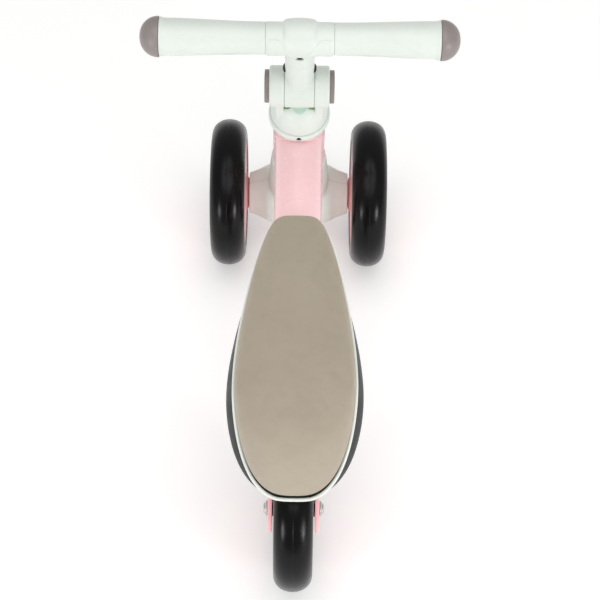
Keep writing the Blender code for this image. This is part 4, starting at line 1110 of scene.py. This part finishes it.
def cushionLevels():
    # wall and crown: rise = (1 - scale^6)^0.46, so the sides are upright and the top is gently crowned
    under = [(s, 0.3, 0, 0, 0, 0) for s in np.linspace(0.0, 0.985, 14)]
    scale = np.concatenate([1 - 0.12 * np.linspace(0, 1, 18) ** 2, np.linspace(0.87, 0, 24)])
    rise = (1 - scale**6) ** 0.46
    return under + [(s, 0.3, r, 0, 0, 0) for s, r in zip(scale, rise)]


def plumped(obj, cap):
    # cloth pressed out from inside for 20 frames; no point may go further than cap mm
    rest = pointsOf(obj)
    cloth = obj.modifiers.new("plump", "CLOTH")
    cloth.settings.use_pressure = True
    cloth.settings.uniform_pressure_force = 4
    cloth.settings.quality = 6
    cloth.settings.effector_weights.gravity = 0
    pin = obj.vertex_groups.new(name="held")
    low = rest[:, 2] < seamHeights(rest[:, 1]) + 2.2 * mm
    pin.add(np.flatnonzero(low).tolist(), 1.0, "REPLACE")
    cloth.settings.vertex_group_mass = "held"
    scene = bpy.context.scene
    for step in range(1, 21):
        scene.frame_set(step)
    graph = bpy.context.evaluated_depsgraph_get()
    moved = np.empty(len(rest) * 3)
    obj.evaluated_get(graph).data.vertices.foreach_get("co", moved)
    moved = moved.reshape(-1, 3) - rest
    far = np.linalg.norm(moved, axis=1)[:, None]
    moved = moved * np.minimum(1, cap * mm / np.maximum(far, 1e-9))
    obj.modifiers.clear()
    obj.vertex_groups.clear()
    setPoints(obj, rest + moved)
    scene.frame_set(1)


def seamHeights(y):
    # the seam's height in metres at y metres
    s = seatSizes
    rear = boxOf("seat_pan")[0][1] / mm
    share = np.clip((s["dropFrom"] - y / mm) / (s["dropFrom"] - rear), 0, 1)
    return (s["seam"] - s["drop"] * share**1.6) * mm


def makeCushion():
    rings = seatStack(cushionLevels())
    middle = np.array([0, rings[..., 1].mean(), 0])
    rings = (rings - middle) * np.array([0.997, 0.999, 1]) + middle
    points = rings.reshape(-1, 3)
    pad = newPiece("seat_pad", points, gridFaces(len(rings), seatSizes["points"], True), looks["taupePad"])
    plumped(pad, 1.6)
    easing = pad.modifiers.new("ease", "SMOOTH")
    easing.factor, easing.iterations = 0.5, 4
    applyModifiers(pad)
    finishPiece(pad, "frame", "taupe_cover", "seat_cushion")


def makePan():
    # deck, then the wall bulging out and in again, a rolled foot, and the same line 2.5 mm further in
    t = np.linspace(0, 1, 22)
    wallLift = -4.8 - 30.2 * t
    wider = 9.4 * np.sin(np.pi * np.minimum(t / 0.78, 1.2) ** 1.15 * 0.62) - 5.3 * smoothStep(t, 0.55, 1)
    shorter = 8 * t**1.3
    follow = 0.74 * (-wallLift - 4.8 * (1 - t))
    deck = [(s, -4.8, 0, 0, 0, 0) for s in (0.0, 0.3, 0.6, 0.85, 0.965, 0.992)]
    outer = [(1, a, 0, w, c, f) for a, w, c, f in zip(wallLift[1:], wider[1:], shorter[1:], follow[1:])]
    back = np.stack([wallLift, wider, shorter, follow], 1)[:1:-1]
    inner = [(0.955, a, 0, w, c, f) for a, w, c, f in back]
    underDeck = [(s, -7.3, 0, 0, 0, 0) for s in (0.93, 0.85, 0.6, 0.3, 0.0)]
    rings = seatStack(deck + outer + inner + underDeck)
    pan = newPiece("seat_shell", rings.reshape(-1, 3), gridFaces(len(rings), seatSizes["points"], True), None)
    start, along = tubeLine()[:2]
    place = placeWith(start, along, (1, 0, 0))
    notch = turnedPiece("notch", [(0, -20), (25.8, -20), (23.8, 320), (0, 320)], place, None, 96)
    combined("seat_shell", pan, [notch], "DIFFERENCE")
    shadeSmooth(pan.data)
    pan.data.set_sharp_from_angle(angle=math.radians(38))
    finishPiece(coated(pan, looks["charcoalPlastic"]), "frame", "charcoal_plastic", "seat_pan")


def makeTrim():
    x, y, z = seatLine(1.008)[:3]
    path = np.stack([x, y, z - 2.25], -1) * mm
    trim = tubeAlong("seam_bead", path, 1.75, looks["whiteTrim"], 16)
    finishPiece(trim, "frame", "white_trim", "seat_trim")


makePan()
makeTrim()
makeCushion()
print("seat made")

kept = {
    "steel": ["rear_axle", "front_axle", "fork_core", "hinge_pin", "stem_core", "bar_tube"],
    "zinc": ["seat_bolt_front", "seat_bolt_rear", "front_axle_nut_left", "front_axle_nut_right", "bearings_left",
             "bearings_right", "bearings_rear", "button_spring_left", "button_spring_right"],
    "blackSteel": ["seat_bracket_front", "seat_bracket_rear"],
    "nylon": ["bush_upper", "bush_lower"],
    "pinkPaint": ["yoke_bridge"],
    "board": ["seat_board"],
}
for finishName, names in kept.items():
    for name in names:
        coated(nodes[name], looks[finishName])
